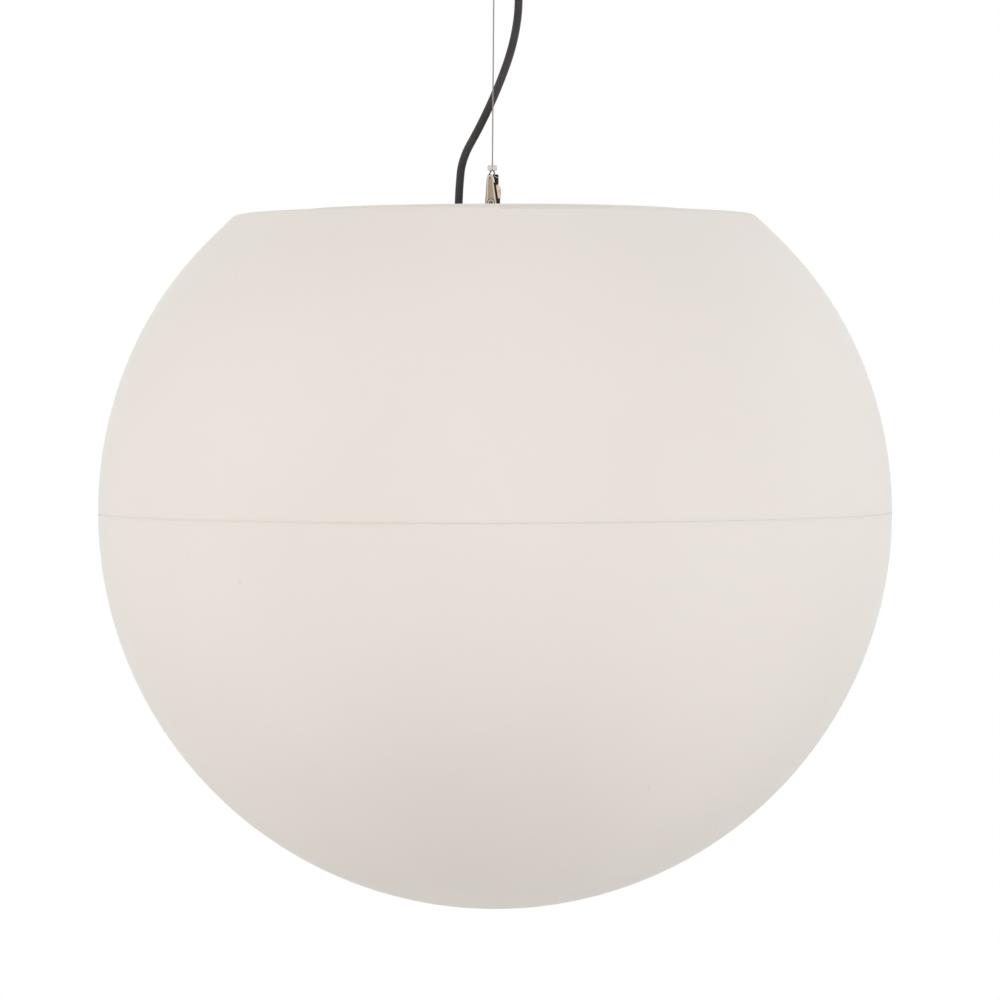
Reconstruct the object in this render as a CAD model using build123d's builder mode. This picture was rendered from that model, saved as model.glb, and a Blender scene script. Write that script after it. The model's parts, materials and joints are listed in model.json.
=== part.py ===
from build123d import *
from math import asin, cos, degrees, pi, radians, sin, sqrt, tan
import os

# A garden globe light that hangs under a ceiling: a white plastic globe in two shells, with a
# flat top, on a thin steel wire with a snap clip, and a black mains cable beside the wire.
# The origin is on the ceiling, over the globe's centre. +Z is up, +X is to the viewer's right,
# and +Y is away from the viewer. Sizes are in millimetres. Heights whose names end in _UP are
# measured from the globe's centre.

# ---------------------------------------------------------------------------------------------
# Driving dimensions
# ---------------------------------------------------------------------------------------------

GLOBE_R = 300.0
SHELL_WALL = 3.5
GLOBE_DROP = 450.0  # from the ceiling to the globe's centre
SEAM_GAP = 0.8
DECK_UP = 224.6  # the globe's flat top
DECK_EDGE_R = 9.0  # rounding where the flat top meets the slope
SHOULDER_START = 22.0  # degrees above the equator, where the sphere gives way to the shoulder
SHOULDER_R = 275.4
SLOPE_HEIGHT = 19.3  # of the straight slope between the shoulder and the flat top
DECK_OPENING_R = 100.0

# Bayonet joint of the two shells
CATCH_COUNT = 6
LUG_UP = 6.0
LUG_HEIGHT = 4.0
LUG_REACH = 6.0  # from the upper shell's inner wall inwards
LUG_ARC = 16.0  # degrees
STOP_ARC = 2.0  # degrees, the rib that ends the tab's travel
COLLAR_GAP = 9.0  # from the upper shell's inner wall to the lower shell's upright collar
COLLAR_WALL = 3.5
FLANGE_HEIGHT = 4.0  # the ledge that joins the collar to the lower shell
TAB_HEIGHT = 4.0
TAB_ARC = 14.0  # degrees
TAB_REACH = 6.0  # from the collar outwards
CATCH_GAP = 0.2  # between a tab's underside and its lug
STOP_GAP = 0.5  # between a tab's end and the stop rib

# Seam gasket, set back from the outside
GASKET_SETBACK = 1.0
GASKET_WIDTH = 6.0
GASKET_HEIGHT = 0.5

# Dish that closes the flat top, with a well for the cable gland and the hanging eye
DISH_FLANGE_R = 146.0
DISH_FLANGE_T = 2.6
DISH_WALL = 3.0
WELL_CLEARANCE = 12.0  # from the flat top's opening to the well's wall
WELL_TAPER = 8.0
WELL_FLOOR_DOWN = 32.9  # from the flat top to the top of the well's floor
WELL_FLOOR_T = 4.0
DECK_GASKET_T = 0.8
DECK_GASKET_INSET = 4.0
DISH_SCREW_COUNT = 6
DISH_SCREW_START = 90.0  # degrees round the axis from +X
DISH_SCREW_R = 2.5
DISH_SCREW_HEAD_R = 4.4
DISH_SCREW_LENGTH = 14.0
RING_T = 4.0  # backing ring under the flat top
RING_INSET = 5.0
SCREW_PLAY = 0.2

# Eye bolt in the well
EYE_X = -2.0
EYE_RING_R = 9.0  # centre line of the ring
EYE_WIRE_R = 2.5
EYE_COLLAR_R = 6.0
EYE_COLLAR_HEIGHT = 5.0
EYE_SHANK_R = 4.0
EYE_SHANK_LENGTH = 12.0  # below the well's floor top
EYE_WASHER_R = 9.0
EYE_WASHER_T = 1.5
EYE_NUT_AF = 13.0
EYE_NUT_T = 5.0
THREAD_PLAY = 0.1

# Cable and its gland
CABLE_R = 3.05
GLAND_HEX_AF = 20.0
GLAND_HEX_T = 5.0
GLAND_THREAD_R = 7.8
GLAND_THREAD_LENGTH = 14.0
GLAND_NECK_R = 7.2
GLAND_NECK_HEIGHT = 5.0
GLAND_NUT_AF = 19.0
GLAND_NUT_HEIGHT = 14.0
GLAND_NOSE_LENGTH = 20.0  # the nut's taper, which keeps the cable from kinking
GLAND_NOSE_R = 4.8
GLAND_LOCKNUT_AF = 20.0
GLAND_LOCKNUT_T = 5.0
BORE_PLAY = 0.35
TAIL_LENGTH = 34.0  # sheathed cable inside the gland and the globe
CORE_R = 1.1
CORE_SPACING = 2.6
LEAD_RISE = 8.0  # from the top of the holder's stem to the leads' highest bend
LEAD_SAG = 3.0

# Ceiling cup and what it hides
CANOPY_R = 55.0
CANOPY_WALL = 1.5
CANOPY_DEPTH = 33.0
CANOPY_EDGE_R = 5.0
CANOPY_SEAL_T = 2.0
WIRE_HOLE_R = 5.5
BRACKET_T = 2.0
BRACKET_WIDTH = 22.0
BRACKET_NECK = 10.0  # length of the narrow end next to each ear
EAR_WIDTH = 12.0
EAR_DROP = 15.0
EAR_GAP = 0.6
CEILING_SCREW_SPACING = 60.0
CEILING_SLOT_WIDTH = 5.0
CEILING_SLOT_LENGTH = 12.0
WING_WIDTH = 28.0
WING_REACH = 20.0
CANOPY_SCREW_DOWN = 10.0
CANOPY_SCREW_R = 2.0
CANOPY_SCREW_HEAD_R = 3.6
CANOPY_SCREW_HEAD_T = 2.2
CANOPY_SCREW_LENGTH = 9.0
HOOK_SHANK_R = 3.0
HOOK_RING_R = 5.5
HOOK_WIRE_R = 2.0
HOOK_COLLAR_R = 5.0
HOOK_COLLAR_T = 2.0
HOOK_NUT_AF = 10.0
HOOK_NUT_T = 5.0
PIVOT_DOWN = 23.0  # from the ceiling to the axis that the light swings about
GROMMET_CORE_R = 5.4
GROMMET_LIP_R = 7.2
GROMMET_LIP_T = 1.5
GROMMET_BASE_R = 6.6  # where its taper leaves the lip
GROMMET_TIP_R = 4.6
GROMMET_NOSE_LENGTH = 20.0
GRIP_LENGTH = 20.0
GRIP_WIDTH = 18.0
GRIP_HEIGHT = 12.0
GRIP_SCREW_R = 1.5
GRIP_SCREW_HEAD_R = 2.7
TERMINAL_LENGTH = 24.0
TERMINAL_WIDTH = 15.0
TERMINAL_HEIGHT = 12.0
TERMINAL_POLES = 2
TERMINAL_PITCH = 10.0
TERMINAL_SCREW_R = 1.8

# Hanging wire, its end loops and sleeves
WIRE_R = 0.5
LOOP_PLAY = 0.3
UPPER_LOOP_LENGTH = 1.5  # between the centres of the loop's two bends
UPPER_SLEEVE_R = 1.5
UPPER_SLEEVE_LENGTH = 6.0
COLLAR_BEAD_R = 3.7  # clear bead over the lower end of the wire
COLLAR_BEAD_HEIGHT = 4.2
COLLAR_BEAD_RISE = 41.0  # its underside, above the eye's bar
COLLAR_BEAD_EDGE_R = 1.2
LOWER_LOOP_X = -1.6  # at the bead; its lower end goes round the clip's tail pin
LOOP_BITE = 0.2  # how far the loop's bend reaches into its sleeve

# Snap clip between the wire's loop and the eye. Heights whose names end in _RISE are measured
# from the middle of the eye's bar, unless the comment says otherwise.
CLIP_SHEET = 0.7
CLIP_WIDTH = 5.9
CLIP_HEAD_X = -3.5
CLIP_HEAD_RISE = 36.1
CLIP_HEAD_R = 2.3
CLIP_PIVOT_X = -2.7
CLIP_PIVOT_RISE = 16.9
CLIP_PIN_R = 0.9
CLIP_PIN_HEAD_R = 1.5
CLIP_PIN_HEAD_T = 0.5
CLIP_BOSS_R = 2.7
CLIP_BOSS_T = 0.3
CLIP_TAIL_PIN_X = -3.4
CLIP_TAIL_PIN_RISE = 35.9
CLIP_TAIL_PIN_R = 0.75
CLIP_SEAT_R = 3.1  # inside the hook
CLIP_SEAT_GAP = 0.9  # below the middle of the eye's bar, which curves down to the clip's sides
CLIP_HOOK_T = 2.0
CLIP_TIP_RISE = 7.0
CLIP_SHOULDER_RISE = 13.5
CLIP_SHOULDER_X = 1.8
LANCE_T = 0.6  # tab bent in from the body's side, which the spring's fixed leg rests on
LANCE_DEPTH = 1.6
LANCE_HEIGHT = 2.0
LANCE_RISE = 6.0  # above the pivot
KEEPER_THICKNESS = 1.8
KEEPER_GAP = 0.2
GATE_DEPTH = 1.65
GATE_HEIGHT = 3.0
GATE_STEM_WIDTH = 1.3
GATE_STEM_RISE = 3.0  # its upper end, above the hook's tip
KEEPER_HUB_R = 1.6
KEEPER_BODY_GAP = 0.45  # between the clip's body and the keeper's grip
KEEPER_GRIP_WIDTH = 3.8
KEEPER_GRIP_RISE = 2.4  # above the middle of the clip's head
KEEPER_GRIP_DROP = 5.4  # below it
KEEPER_GRIP_TAPER = 3.5  # height over which it widens to the arm
KEEPER_ARM_WIDTH = 2.65
KEEPER_ARM_RISE = 3.6  # its lower end, above the pivot
KEEPER_TAIL_WIDTH = 1.5
KEEPER_TAIL_SETBACK = 0.7  # from the arm's right side
KEEPER_TAIL_DROP = 0.6  # below the pivot
KEEPER_BEVEL = 0.8
KEEPER_RIB_DEPTH = 1.3  # how far the keeper's plate reaches into the body's channel
KEEPER_RIB_DROP = 4.0  # its upper end, below the middle of the clip's head
PIN_PLAY = 0.08
SPRING_COIL_R = 1.7
SPRING_WIRE_R = 0.2
SPRING_PITCH = 0.45
SPRING_TURNS = 3
SPRING_FIXED_LEG = 7.0
SPRING_GATE_LEG = 10.5

# Lampholder and its carrier
CARRIER_WIDTH = 20.0
CARRIER_SPAN = 48.0
CARRIER_SHEET = 2.0
CARRIER_DEPTH = 41.0
CARRIER_FOOT = 14.0
CARRIER_SCREW_R = 2.0
CARRIER_SCREW_HEAD_R = 3.6
CARRIER_SCREW_HEAD_T = 2.4
CARRIER_SCREW_LENGTH = 9.0
STEM_R = 5.0
STEM_BORE_R = 3.5
STEM_ABOVE = 8.0
STEM_BELOW = 6.0
STEM_NUT_AF = 14.0
STEM_NUT_T = 4.0
HOLDER_R = 20.0
HOLDER_WALL = 2.2
HOLDER_CAP_HEIGHT = 20.0
HOLDER_CAP_SHOULDER_R = 12.0
HOLDER_SKIRT_HEIGHT = 36.0
HOLDER_CORE_HEIGHT = 7.0
SCREW_SHELL_HEIGHT = 24.0
SCREW_SHELL_WALL = 0.5
CONTACT_T = 0.6
CONTACT_WIDTH = 5.0

# Bulb
BULB_THREAD_R = 13.1
BULB_THREAD_DEPTH = 0.8
BULB_THREAD_PITCH = 3.6
BULB_THREAD_COUNT = 5
BULB_CAP_SHEET = 0.6
BULB_TIP_R = 4.6
BULB_TIP_HEIGHT = 2.0
BULB_INSULATOR_R = 9.5
BULB_INSULATOR_HEIGHT = 3.0
BULB_BODY_HEIGHT = 33.0
BULB_BODY_R = 23.0
BULB_GLASS_R = 27.5
BULB_GLASS_WALL = 1.2
BULB_PLAY = 0.35

# Route of the mains cable: it rises out of the gland, leans across behind the wire and enters
# the ceiling cup to the right of the wire. Heights are from the ceiling.
CABLE_ROUTE = [
    (-27.5, 12.0, -241.0),
    (-27.5, 12.0, -224.0),
    (-26.8, 11.7, -204.0),
    (-24.6, 10.8, -182.0),
    (-10.9, 9.4, -158.0),
    (2.2, 8.0, -130.0),
    (12.7, 7.0, -102.0),
    (18.0, 6.3, -77.0),
    (18.8, 6.0, -55.0),
    (18.8, 6.0, -23.0),
]

# ---------------------------------------------------------------------------------------------
# Worked-out places
# ---------------------------------------------------------------------------------------------

UP = (Align.CENTER, Align.CENTER, Align.MIN)
DOWN = (Align.CENTER, Align.CENTER, Align.MAX)
QUARTER = 90  # degrees

GLOBE_Z = -GLOBE_DROP
DECK_Z = GLOBE_Z + DECK_UP
INNER_R = GLOBE_R - SHELL_WALL
COLLAR_R = INNER_R - COLLAR_GAP
DECK_UNDER_Z = DECK_Z - SHELL_WALL
FLANGE_Z = DECK_Z + DECK_GASKET_T
FLANGE_TOP_Z = FLANGE_Z + DISH_FLANGE_T
WELL_R = DECK_OPENING_R - WELL_CLEARANCE - DISH_WALL  # inside, at the flange
DISH_SCREW_RING_R = (DISH_FLANGE_R + DECK_OPENING_R) / 2
GLAND_X, GLAND_Y = CABLE_ROUTE[0][:2]
CABLE_TOP_X, CABLE_TOP_Y = CABLE_ROUTE[-1][:2]
WELL_FLOOR_Z = DECK_Z - WELL_FLOOR_DOWN
WELL_UNDER_Z = WELL_FLOOR_Z - WELL_FLOOR_T
EYE_RING_Z = WELL_FLOOR_Z + EYE_COLLAR_HEIGHT + EYE_RING_R + EYE_WIRE_R
EYE_BAR_Z = EYE_RING_Z + EYE_RING_R
PIVOT_Z = -PIVOT_DOWN
CANOPY_TOP_Z = -CANOPY_SEAL_T
CANOPY_FLOOR_Z = CANOPY_TOP_Z - CANOPY_DEPTH
CANOPY_INNER_R = CANOPY_R - CANOPY_WALL
EAR_FACE_X = CANOPY_INNER_R - EAR_GAP
CLIP_PIVOT = (CLIP_PIVOT_X, EYE_BAR_Z + CLIP_PIVOT_RISE)
CARRIER_PLATE_Z = WELL_UNDER_Z - CARRIER_DEPTH
HOLDER_CORE_Z = CARRIER_PLATE_Z - HOLDER_CAP_HEIGHT
CONTACT_Z = HOLDER_CORE_Z - HOLDER_CORE_HEIGHT - CONTACT_T


# ---------------------------------------------------------------------------------------------
# Shared shapes
# ---------------------------------------------------------------------------------------------


def angle_at(radius, height):
    """Angle above the globe's equator of the point of a sphere at this height, in degrees."""
    return degrees(asin(height / radius))


def ring_segments(inner_r, outer_r, from_deg, to_deg, count):
    """Equal pieces of a flat ring, spread evenly round the axis."""
    with BuildSketch() as segments:
        for index in range(count):
            start = from_deg + index * 360 / count
            with BuildLine():
                low = CenterArc((0, 0), inner_r, start, to_deg - from_deg)
                high = CenterArc((0, 0), outer_r, start, to_deg - from_deg)
                Line(low @ 0, high @ 0)
                Line(low @ 1, high @ 1)
            make_face()
    return segments.sketch


def hex_nut(across_flats, bore_r, thickness, place):
    """A plain hexagon nut whose underside is at the given place."""
    with BuildPart() as nut:
        with BuildSketch(Plane(place)):
            RegularPolygon(across_flats / 2, 6, major_radius=False)
            Circle(bore_r, mode=Mode.SUBTRACT)
        extrude(amount=thickness)
    return nut


def loop_path(top, bottom, bend_r):
    """A closed loop of wire in the XZ plane, round a bar at each end."""
    top, bottom = Vector(top), Vector(bottom)
    run = (bottom - top).normalized()
    side = run.cross(Vector(0, 1, 0))
    with BuildLine() as path:
        Line(top + side * bend_r, bottom + side * bend_r)
        ThreePointArc(bottom + side * bend_r, bottom + run * bend_r, bottom - side * bend_r)
        Line(bottom - side * bend_r, top - side * bend_r)
        ThreePointArc(top - side * bend_r, top - run * bend_r, top + side * bend_r)
    return path.line


def round_bar(path, radius):
    """A round bar, wire or cable along a path."""
    with BuildPart() as bar:
        with BuildSketch(Plane(path @ 0, z_dir=path % 0)):
            Circle(radius)
        sweep(path=path)
    return bar


def thread_outline(crest_r, depth, low_z, count, pitch):
    """Zigzag of a round lamp thread, from the bottom up."""
    return [(crest_r - depth * (i % 2), low_z + i * pitch / 2) for i in range(2 * count + 1)]


def bend_radii(points):
    """Bend radius at each inner point of a cable route, from its two runs and its turn."""
    radii = []
    for before, here, after in zip(points, points[1:], points[2:]):
        run_in = Vector(here) - Vector(before)
        run_out = Vector(after) - Vector(here)
        half_turn = radians(run_in.get_angle(run_out)) / 2
        radii.append(0.45 * min(run_in.length, run_out.length) / tan(half_turn))
    return radii


def biarc(start, start_way, end, end_way):
    """Two arcs that join two points and meet both directions there."""
    span = end - start
    ways = start_way + end_way
    bend = 2 * (1 - start_way.dot(end_way))
    reach = (-span.dot(ways) + sqrt(span.dot(ways) ** 2 + bend * span.dot(span))) / bend
    near = start + start_way * reach
    far = end - end_way * reach
    middle = (near + far) * 0.5
    TangentArc(start, middle, tangent=start_way)
    TangentArc(middle, end, tangent=far - near)


# ---------------------------------------------------------------------------------------------
# Globe shells
# ---------------------------------------------------------------------------------------------

half_gap = SEAM_GAP / 2
lug_in_r = INNER_R - LUG_REACH
lug_out_r = INNER_R + SHELL_WALL / 3
shoulder_way = Vector(cos(radians(SHOULDER_START)), sin(radians(SHOULDER_START)))
shoulder_centre = Vector(0, GLOBE_Z) + shoulder_way * (GLOBE_R - SHOULDER_R)
shoulder_end = degrees(asin((DECK_Z - SLOPE_HEIGHT - shoulder_centre.Y) / SHOULDER_R))
stop_end = TAB_ARC / 2 + degrees(STOP_GAP / COLLAR_R) + STOP_ARC


def side_outline(depth, low_angle, top_z):
    """Side of the upper shell at a depth under its outside: sphere, shoulder, straight slope."""
    sphere = CenterArc((0, GLOBE_Z), GLOBE_R - depth, low_angle, SHOULDER_START - low_angle)
    shoulder = CenterArc(
        shoulder_centre, SHOULDER_R - depth, SHOULDER_START, shoulder_end - SHOULDER_START
    )
    slope_low = shoulder @ 1
    slope_top_x = slope_low.X - (top_z - slope_low.Y) * tan(radians(shoulder_end))
    Line(slope_low, (slope_top_x, top_z))
    return sphere @ 0, (slope_top_x, top_z)


with BuildPart() as upper_shell:
    with BuildSketch(Plane.XZ):
        with BuildLine():
            outer = side_outline(0, angle_at(GLOBE_R, half_gap), DECK_Z)
            inner = side_outline(SHELL_WALL, angle_at(INNER_R, half_gap), DECK_UNDER_Z)
            opening = (DECK_OPENING_R, DECK_Z), (DECK_OPENING_R, DECK_UNDER_Z)
            Polyline(outer[1], *opening, inner[1])
            Line(outer[0], inner[0])
        make_face()
    revolve(axis=Axis.Z)
    rims = upper_shell.edges().filter_by(GeomType.CIRCLE)
    fillet(rims.group_by(Axis.Z)[-1].sort_by(SortBy.RADIUS)[-1], DECK_EDGE_R)
    with BuildSketch(Plane.XY.offset(GLOBE_Z + LUG_UP)):
        add(ring_segments(lug_in_r, lug_out_r, -LUG_ARC / 2, stop_end, CATCH_COUNT))
    extrude(amount=LUG_HEIGHT)
    with BuildSketch(Plane.XY.offset(GLOBE_Z + LUG_UP)):
        add(ring_segments(lug_in_r, lug_out_r, stop_end - STOP_ARC, stop_end, CATCH_COUNT))
    extrude(amount=LUG_HEIGHT + CATCH_GAP + TAB_HEIGHT)
    with Locations((0, 0, DECK_UNDER_Z)):
        with PolarLocations(DISH_SCREW_RING_R, DISH_SCREW_COUNT, start_angle=DISH_SCREW_START):
            Cylinder(DISH_SCREW_R + SCREW_PLAY, SHELL_WALL, align=UP, mode=Mode.SUBTRACT)

collar_in_r = COLLAR_R - COLLAR_WALL
tab_z = GLOBE_Z + LUG_UP + LUG_HEIGHT + CATCH_GAP

with BuildPart() as lower_shell:
    with BuildSketch(Plane.XZ):
        with BuildLine():
            rim_z = GLOBE_Z - half_gap
            rim_angle = angle_at(GLOBE_R, half_gap)
            outer = CenterArc((0, GLOBE_Z), GLOBE_R, -QUARTER, QUARTER - rim_angle)
            ledge_angle = angle_at(INNER_R, half_gap + FLANGE_HEIGHT)
            inner = CenterArc((0, GLOBE_Z), INNER_R, -QUARTER, QUARTER - ledge_angle)
            Line(outer @ 0, inner @ 0)
            Polyline(
                outer @ 1,
                (COLLAR_R, rim_z),
                (COLLAR_R, tab_z + TAB_HEIGHT),
                (collar_in_r, tab_z + TAB_HEIGHT),
                (collar_in_r, rim_z - FLANGE_HEIGHT),
                inner @ 1,
            )
        make_face()
    revolve(axis=Axis.Z)
    with BuildSketch(Plane.XY.offset(tab_z)):
        tab_in_r, tab_out_r = COLLAR_R - COLLAR_WALL / 2, COLLAR_R + TAB_REACH
        add(ring_segments(tab_in_r, tab_out_r, -TAB_ARC / 2, TAB_ARC / 2, CATCH_COUNT))
    extrude(amount=TAB_HEIGHT)

with BuildPart() as seam_gasket:
    with BuildSketch(Plane.XY.offset(rim_z)):
        Circle(GLOBE_R - GASKET_SETBACK)
        Circle(GLOBE_R - GASKET_SETBACK - GASKET_WIDTH, mode=Mode.SUBTRACT)
    extrude(amount=GASKET_HEIGHT)

# ---------------------------------------------------------------------------------------------
# Dish on the flat top
# ---------------------------------------------------------------------------------------------

well_low_r = WELL_R - WELL_TAPER

with BuildPart() as top_dish:
    with BuildSketch(Plane.XZ):
        with BuildLine():
            Polyline(
                (0, WELL_UNDER_Z),
                (well_low_r + DISH_WALL, WELL_UNDER_Z),
                (WELL_R + DISH_WALL, FLANGE_Z),
                (DISH_FLANGE_R, FLANGE_Z),
                (DISH_FLANGE_R, FLANGE_TOP_Z),
                (WELL_R, FLANGE_TOP_Z),
                (well_low_r, WELL_FLOOR_Z),
                (0, WELL_FLOOR_Z),
                close=True,
            )
        make_face()
    revolve(axis=Axis.Z)
    tops = top_dish.edges().filter_by(GeomType.CIRCLE).group_by(Axis.Z)[-1]
    fillet(tops, DISH_FLANGE_T / 3)
    with Locations((0, 0, FLANGE_TOP_Z)):
        with PolarLocations(DISH_SCREW_RING_R, DISH_SCREW_COUNT, start_angle=DISH_SCREW_START):
            CounterSinkHole(DISH_SCREW_R + SCREW_PLAY, DISH_SCREW_HEAD_R, DISH_FLANGE_T)
    with Locations((EYE_X, 0, WELL_FLOOR_Z)):
        Hole(EYE_SHANK_R + SCREW_PLAY, WELL_FLOOR_T)
    with Locations((GLAND_X, GLAND_Y, WELL_FLOOR_Z)):
        Hole(GLAND_THREAD_R + SCREW_PLAY, WELL_FLOOR_T)
    with Locations((0, 0, WELL_FLOOR_Z)):
        with GridLocations(0, CARRIER_SPAN + CARRIER_FOOT, 1, 2):
            Hole(CARRIER_SCREW_R + SCREW_PLAY, WELL_FLOOR_T)

with BuildPart() as dish_gasket:
    with BuildSketch(Plane.XY.offset(DECK_Z)):
        Circle(DISH_FLANGE_R - DECK_GASKET_INSET)
        Circle(DECK_OPENING_R + DECK_GASKET_T, mode=Mode.SUBTRACT)
        with PolarLocations(DISH_SCREW_RING_R, DISH_SCREW_COUNT, start_angle=DISH_SCREW_START):
            Circle(DISH_SCREW_R + SCREW_PLAY, mode=Mode.SUBTRACT)
    extrude(amount=DECK_GASKET_T)

with BuildPart() as backing_ring:
    with BuildSketch(Plane.XY.offset(DECK_UNDER_Z - RING_T)):
        Circle(DISH_FLANGE_R - RING_INSET)
        Circle(DECK_OPENING_R + RING_INSET, mode=Mode.SUBTRACT)
        with PolarLocations(DISH_SCREW_RING_R, DISH_SCREW_COUNT, start_angle=DISH_SCREW_START):
            Circle(DISH_SCREW_R + THREAD_PLAY, mode=Mode.SUBTRACT)
    extrude(amount=RING_T)

head_depth = DISH_SCREW_HEAD_R - DISH_SCREW_R

with BuildPart() as dish_screws:
    with Locations((0, 0, FLANGE_TOP_Z)):
        with PolarLocations(DISH_SCREW_RING_R, DISH_SCREW_COUNT, start_angle=DISH_SCREW_START):
            Cylinder(DISH_SCREW_R, DISH_SCREW_LENGTH, align=DOWN)
            Cone(
                DISH_SCREW_R,
                DISH_SCREW_HEAD_R - SCREW_PLAY,
                head_depth - SCREW_PLAY,
                align=DOWN,
            )

with BuildPart() as eye_bolt:
    with Locations((EYE_X, 0, EYE_RING_Z)):
        Torus(EYE_RING_R, EYE_WIRE_R, rotation=(0, 90, 0))
    with Locations((EYE_X, 0, WELL_FLOOR_Z)):
        Cylinder(EYE_COLLAR_R, EYE_COLLAR_HEIGHT, align=UP)
        Cylinder(EYE_SHANK_R, EYE_SHANK_LENGTH, align=DOWN)
        Cylinder(EYE_SHANK_R, EYE_COLLAR_HEIGHT + EYE_WIRE_R, align=UP)

with BuildPart() as eye_washer:
    with BuildSketch(Plane((EYE_X, 0, WELL_UNDER_Z - EYE_WASHER_T))):
        Circle(EYE_WASHER_R)
        Circle(EYE_SHANK_R + SCREW_PLAY, mode=Mode.SUBTRACT)
    extrude(amount=EYE_WASHER_T)

eye_nut = hex_nut(
    EYE_NUT_AF,
    EYE_SHANK_R + THREAD_PLAY,
    EYE_NUT_T,
    (EYE_X, 0, WELL_UNDER_Z - EYE_WASHER_T - EYE_NUT_T),
)

# ---------------------------------------------------------------------------------------------
# Cable, gland and inner leads
# ---------------------------------------------------------------------------------------------

cable_radii = bend_radii(CABLE_ROUTE)
with BuildLine() as cable_line:
    FilletPolyline(*CABLE_ROUTE, radius=cable_radii)
power_cable = round_bar(cable_line.line, CABLE_R)

gland_top_z = WELL_FLOOR_Z + GLAND_HEX_T
seal_top_z = CABLE_ROUTE[0][2]
neck_top_z = gland_top_z + GLAND_NECK_HEIGHT

with BuildPart() as gland_body:
    with BuildSketch(Plane((GLAND_X, GLAND_Y, WELL_FLOOR_Z))):
        RegularPolygon(GLAND_HEX_AF / 2, 6, major_radius=False)
    extrude(amount=GLAND_HEX_T)
    with Locations((GLAND_X, GLAND_Y, WELL_FLOOR_Z)):
        Cylinder(GLAND_THREAD_R, GLAND_THREAD_LENGTH, align=DOWN)
    with Locations((GLAND_X, GLAND_Y, gland_top_z)):
        Cylinder(GLAND_NECK_R, GLAND_NECK_HEIGHT, align=UP)
    with Locations((GLAND_X, GLAND_Y, neck_top_z)):
        Hole(CABLE_R + BORE_PLAY)

with BuildPart() as gland_nut:
    with BuildSketch(Plane((GLAND_X, GLAND_Y, gland_top_z))):
        RegularPolygon(GLAND_NUT_AF / 2, 6, major_radius=False)
    extrude(amount=GLAND_NUT_HEIGHT)
    with Locations((GLAND_X, GLAND_Y, gland_top_z + GLAND_NUT_HEIGHT)):
        Cone(GLAND_NUT_AF / 2, GLAND_NOSE_R, GLAND_NOSE_LENGTH, align=UP)
    with Locations((GLAND_X, GLAND_Y, gland_top_z)):
        seat_height = seal_top_z - gland_top_z + BORE_PLAY
        Cylinder(GLAND_NECK_R + BORE_PLAY, seat_height, align=UP, mode=Mode.SUBTRACT)
    with Locations((GLAND_X, GLAND_Y, gland_top_z + GLAND_NUT_HEIGHT + GLAND_NOSE_LENGTH)):
        Hole(CABLE_R + BORE_PLAY)

with BuildPart() as gland_seal:
    with BuildSketch(Plane((GLAND_X, GLAND_Y, neck_top_z))):
        Circle(GLAND_NECK_R)
        Circle(CABLE_R + THREAD_PLAY, mode=Mode.SUBTRACT)
    extrude(amount=seal_top_z - neck_top_z)

gland_locknut = hex_nut(
    GLAND_LOCKNUT_AF,
    GLAND_THREAD_R + THREAD_PLAY,
    GLAND_LOCKNUT_T,
    (GLAND_X, GLAND_Y, WELL_UNDER_Z - GLAND_LOCKNUT_T),
)

with BuildPart() as cable_tail:
    with Locations((GLAND_X, GLAND_Y, seal_top_z)):
        Cylinder(CABLE_R, TAIL_LENGTH, align=DOWN)

tail_z = seal_top_z - TAIL_LENGTH
stem_top_z = CARRIER_PLATE_Z + CARRIER_SHEET + STEM_ABOVE


def inner_lead(shift):
    """One core from the cable's inner end, over the stem and down through it to the holder."""
    rise_z = stem_top_z + LEAD_RISE
    with BuildLine() as route:
        FilletPolyline(
            (GLAND_X, GLAND_Y + shift, tail_z),
            (GLAND_X, GLAND_Y + shift, rise_z - LEAD_SAG),
            (GLAND_X / 2, GLAND_Y / 2 + shift, rise_z - LEAD_SAG),
            (0, shift, rise_z),
            (0, shift, HOLDER_CORE_Z),
            radius=4 * CORE_R,
        )
    return round_bar(route.line, CORE_R)


lead_live = inner_lead(-CORE_SPACING / 2)
lead_neutral = inner_lead(CORE_SPACING / 2)

# ---------------------------------------------------------------------------------------------
# Lampholder
# ---------------------------------------------------------------------------------------------

half_span = CARRIER_SPAN / 2

with BuildPart() as holder_carrier:
    with BuildSketch(Plane.YZ):
        with BuildLine():
            Polyline(
                (-half_span - CARRIER_FOOT, WELL_UNDER_Z - CARRIER_SHEET),
                (-half_span, WELL_UNDER_Z - CARRIER_SHEET),
                (-half_span, CARRIER_PLATE_Z),
                (half_span, CARRIER_PLATE_Z),
                (half_span, WELL_UNDER_Z - CARRIER_SHEET),
                (half_span + CARRIER_FOOT, WELL_UNDER_Z - CARRIER_SHEET),
                (half_span + CARRIER_FOOT, WELL_UNDER_Z),
                (half_span - CARRIER_SHEET, WELL_UNDER_Z),
                (half_span - CARRIER_SHEET, CARRIER_PLATE_Z + CARRIER_SHEET),
                (CARRIER_SHEET - half_span, CARRIER_PLATE_Z + CARRIER_SHEET),
                (CARRIER_SHEET - half_span, WELL_UNDER_Z),
                (-half_span - CARRIER_FOOT, WELL_UNDER_Z),
                close=True,
            )
        make_face()
    extrude(amount=CARRIER_WIDTH / 2, both=True)
    with Locations((0, 0, CARRIER_PLATE_Z + CARRIER_SHEET)):
        Hole(STEM_R + SCREW_PLAY, CARRIER_SHEET)
    with Locations((0, 0, WELL_UNDER_Z)):
        with GridLocations(0, CARRIER_SPAN + CARRIER_FOOT, 1, 2):
            Hole(CARRIER_SCREW_R + THREAD_PLAY, CARRIER_SHEET)

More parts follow.
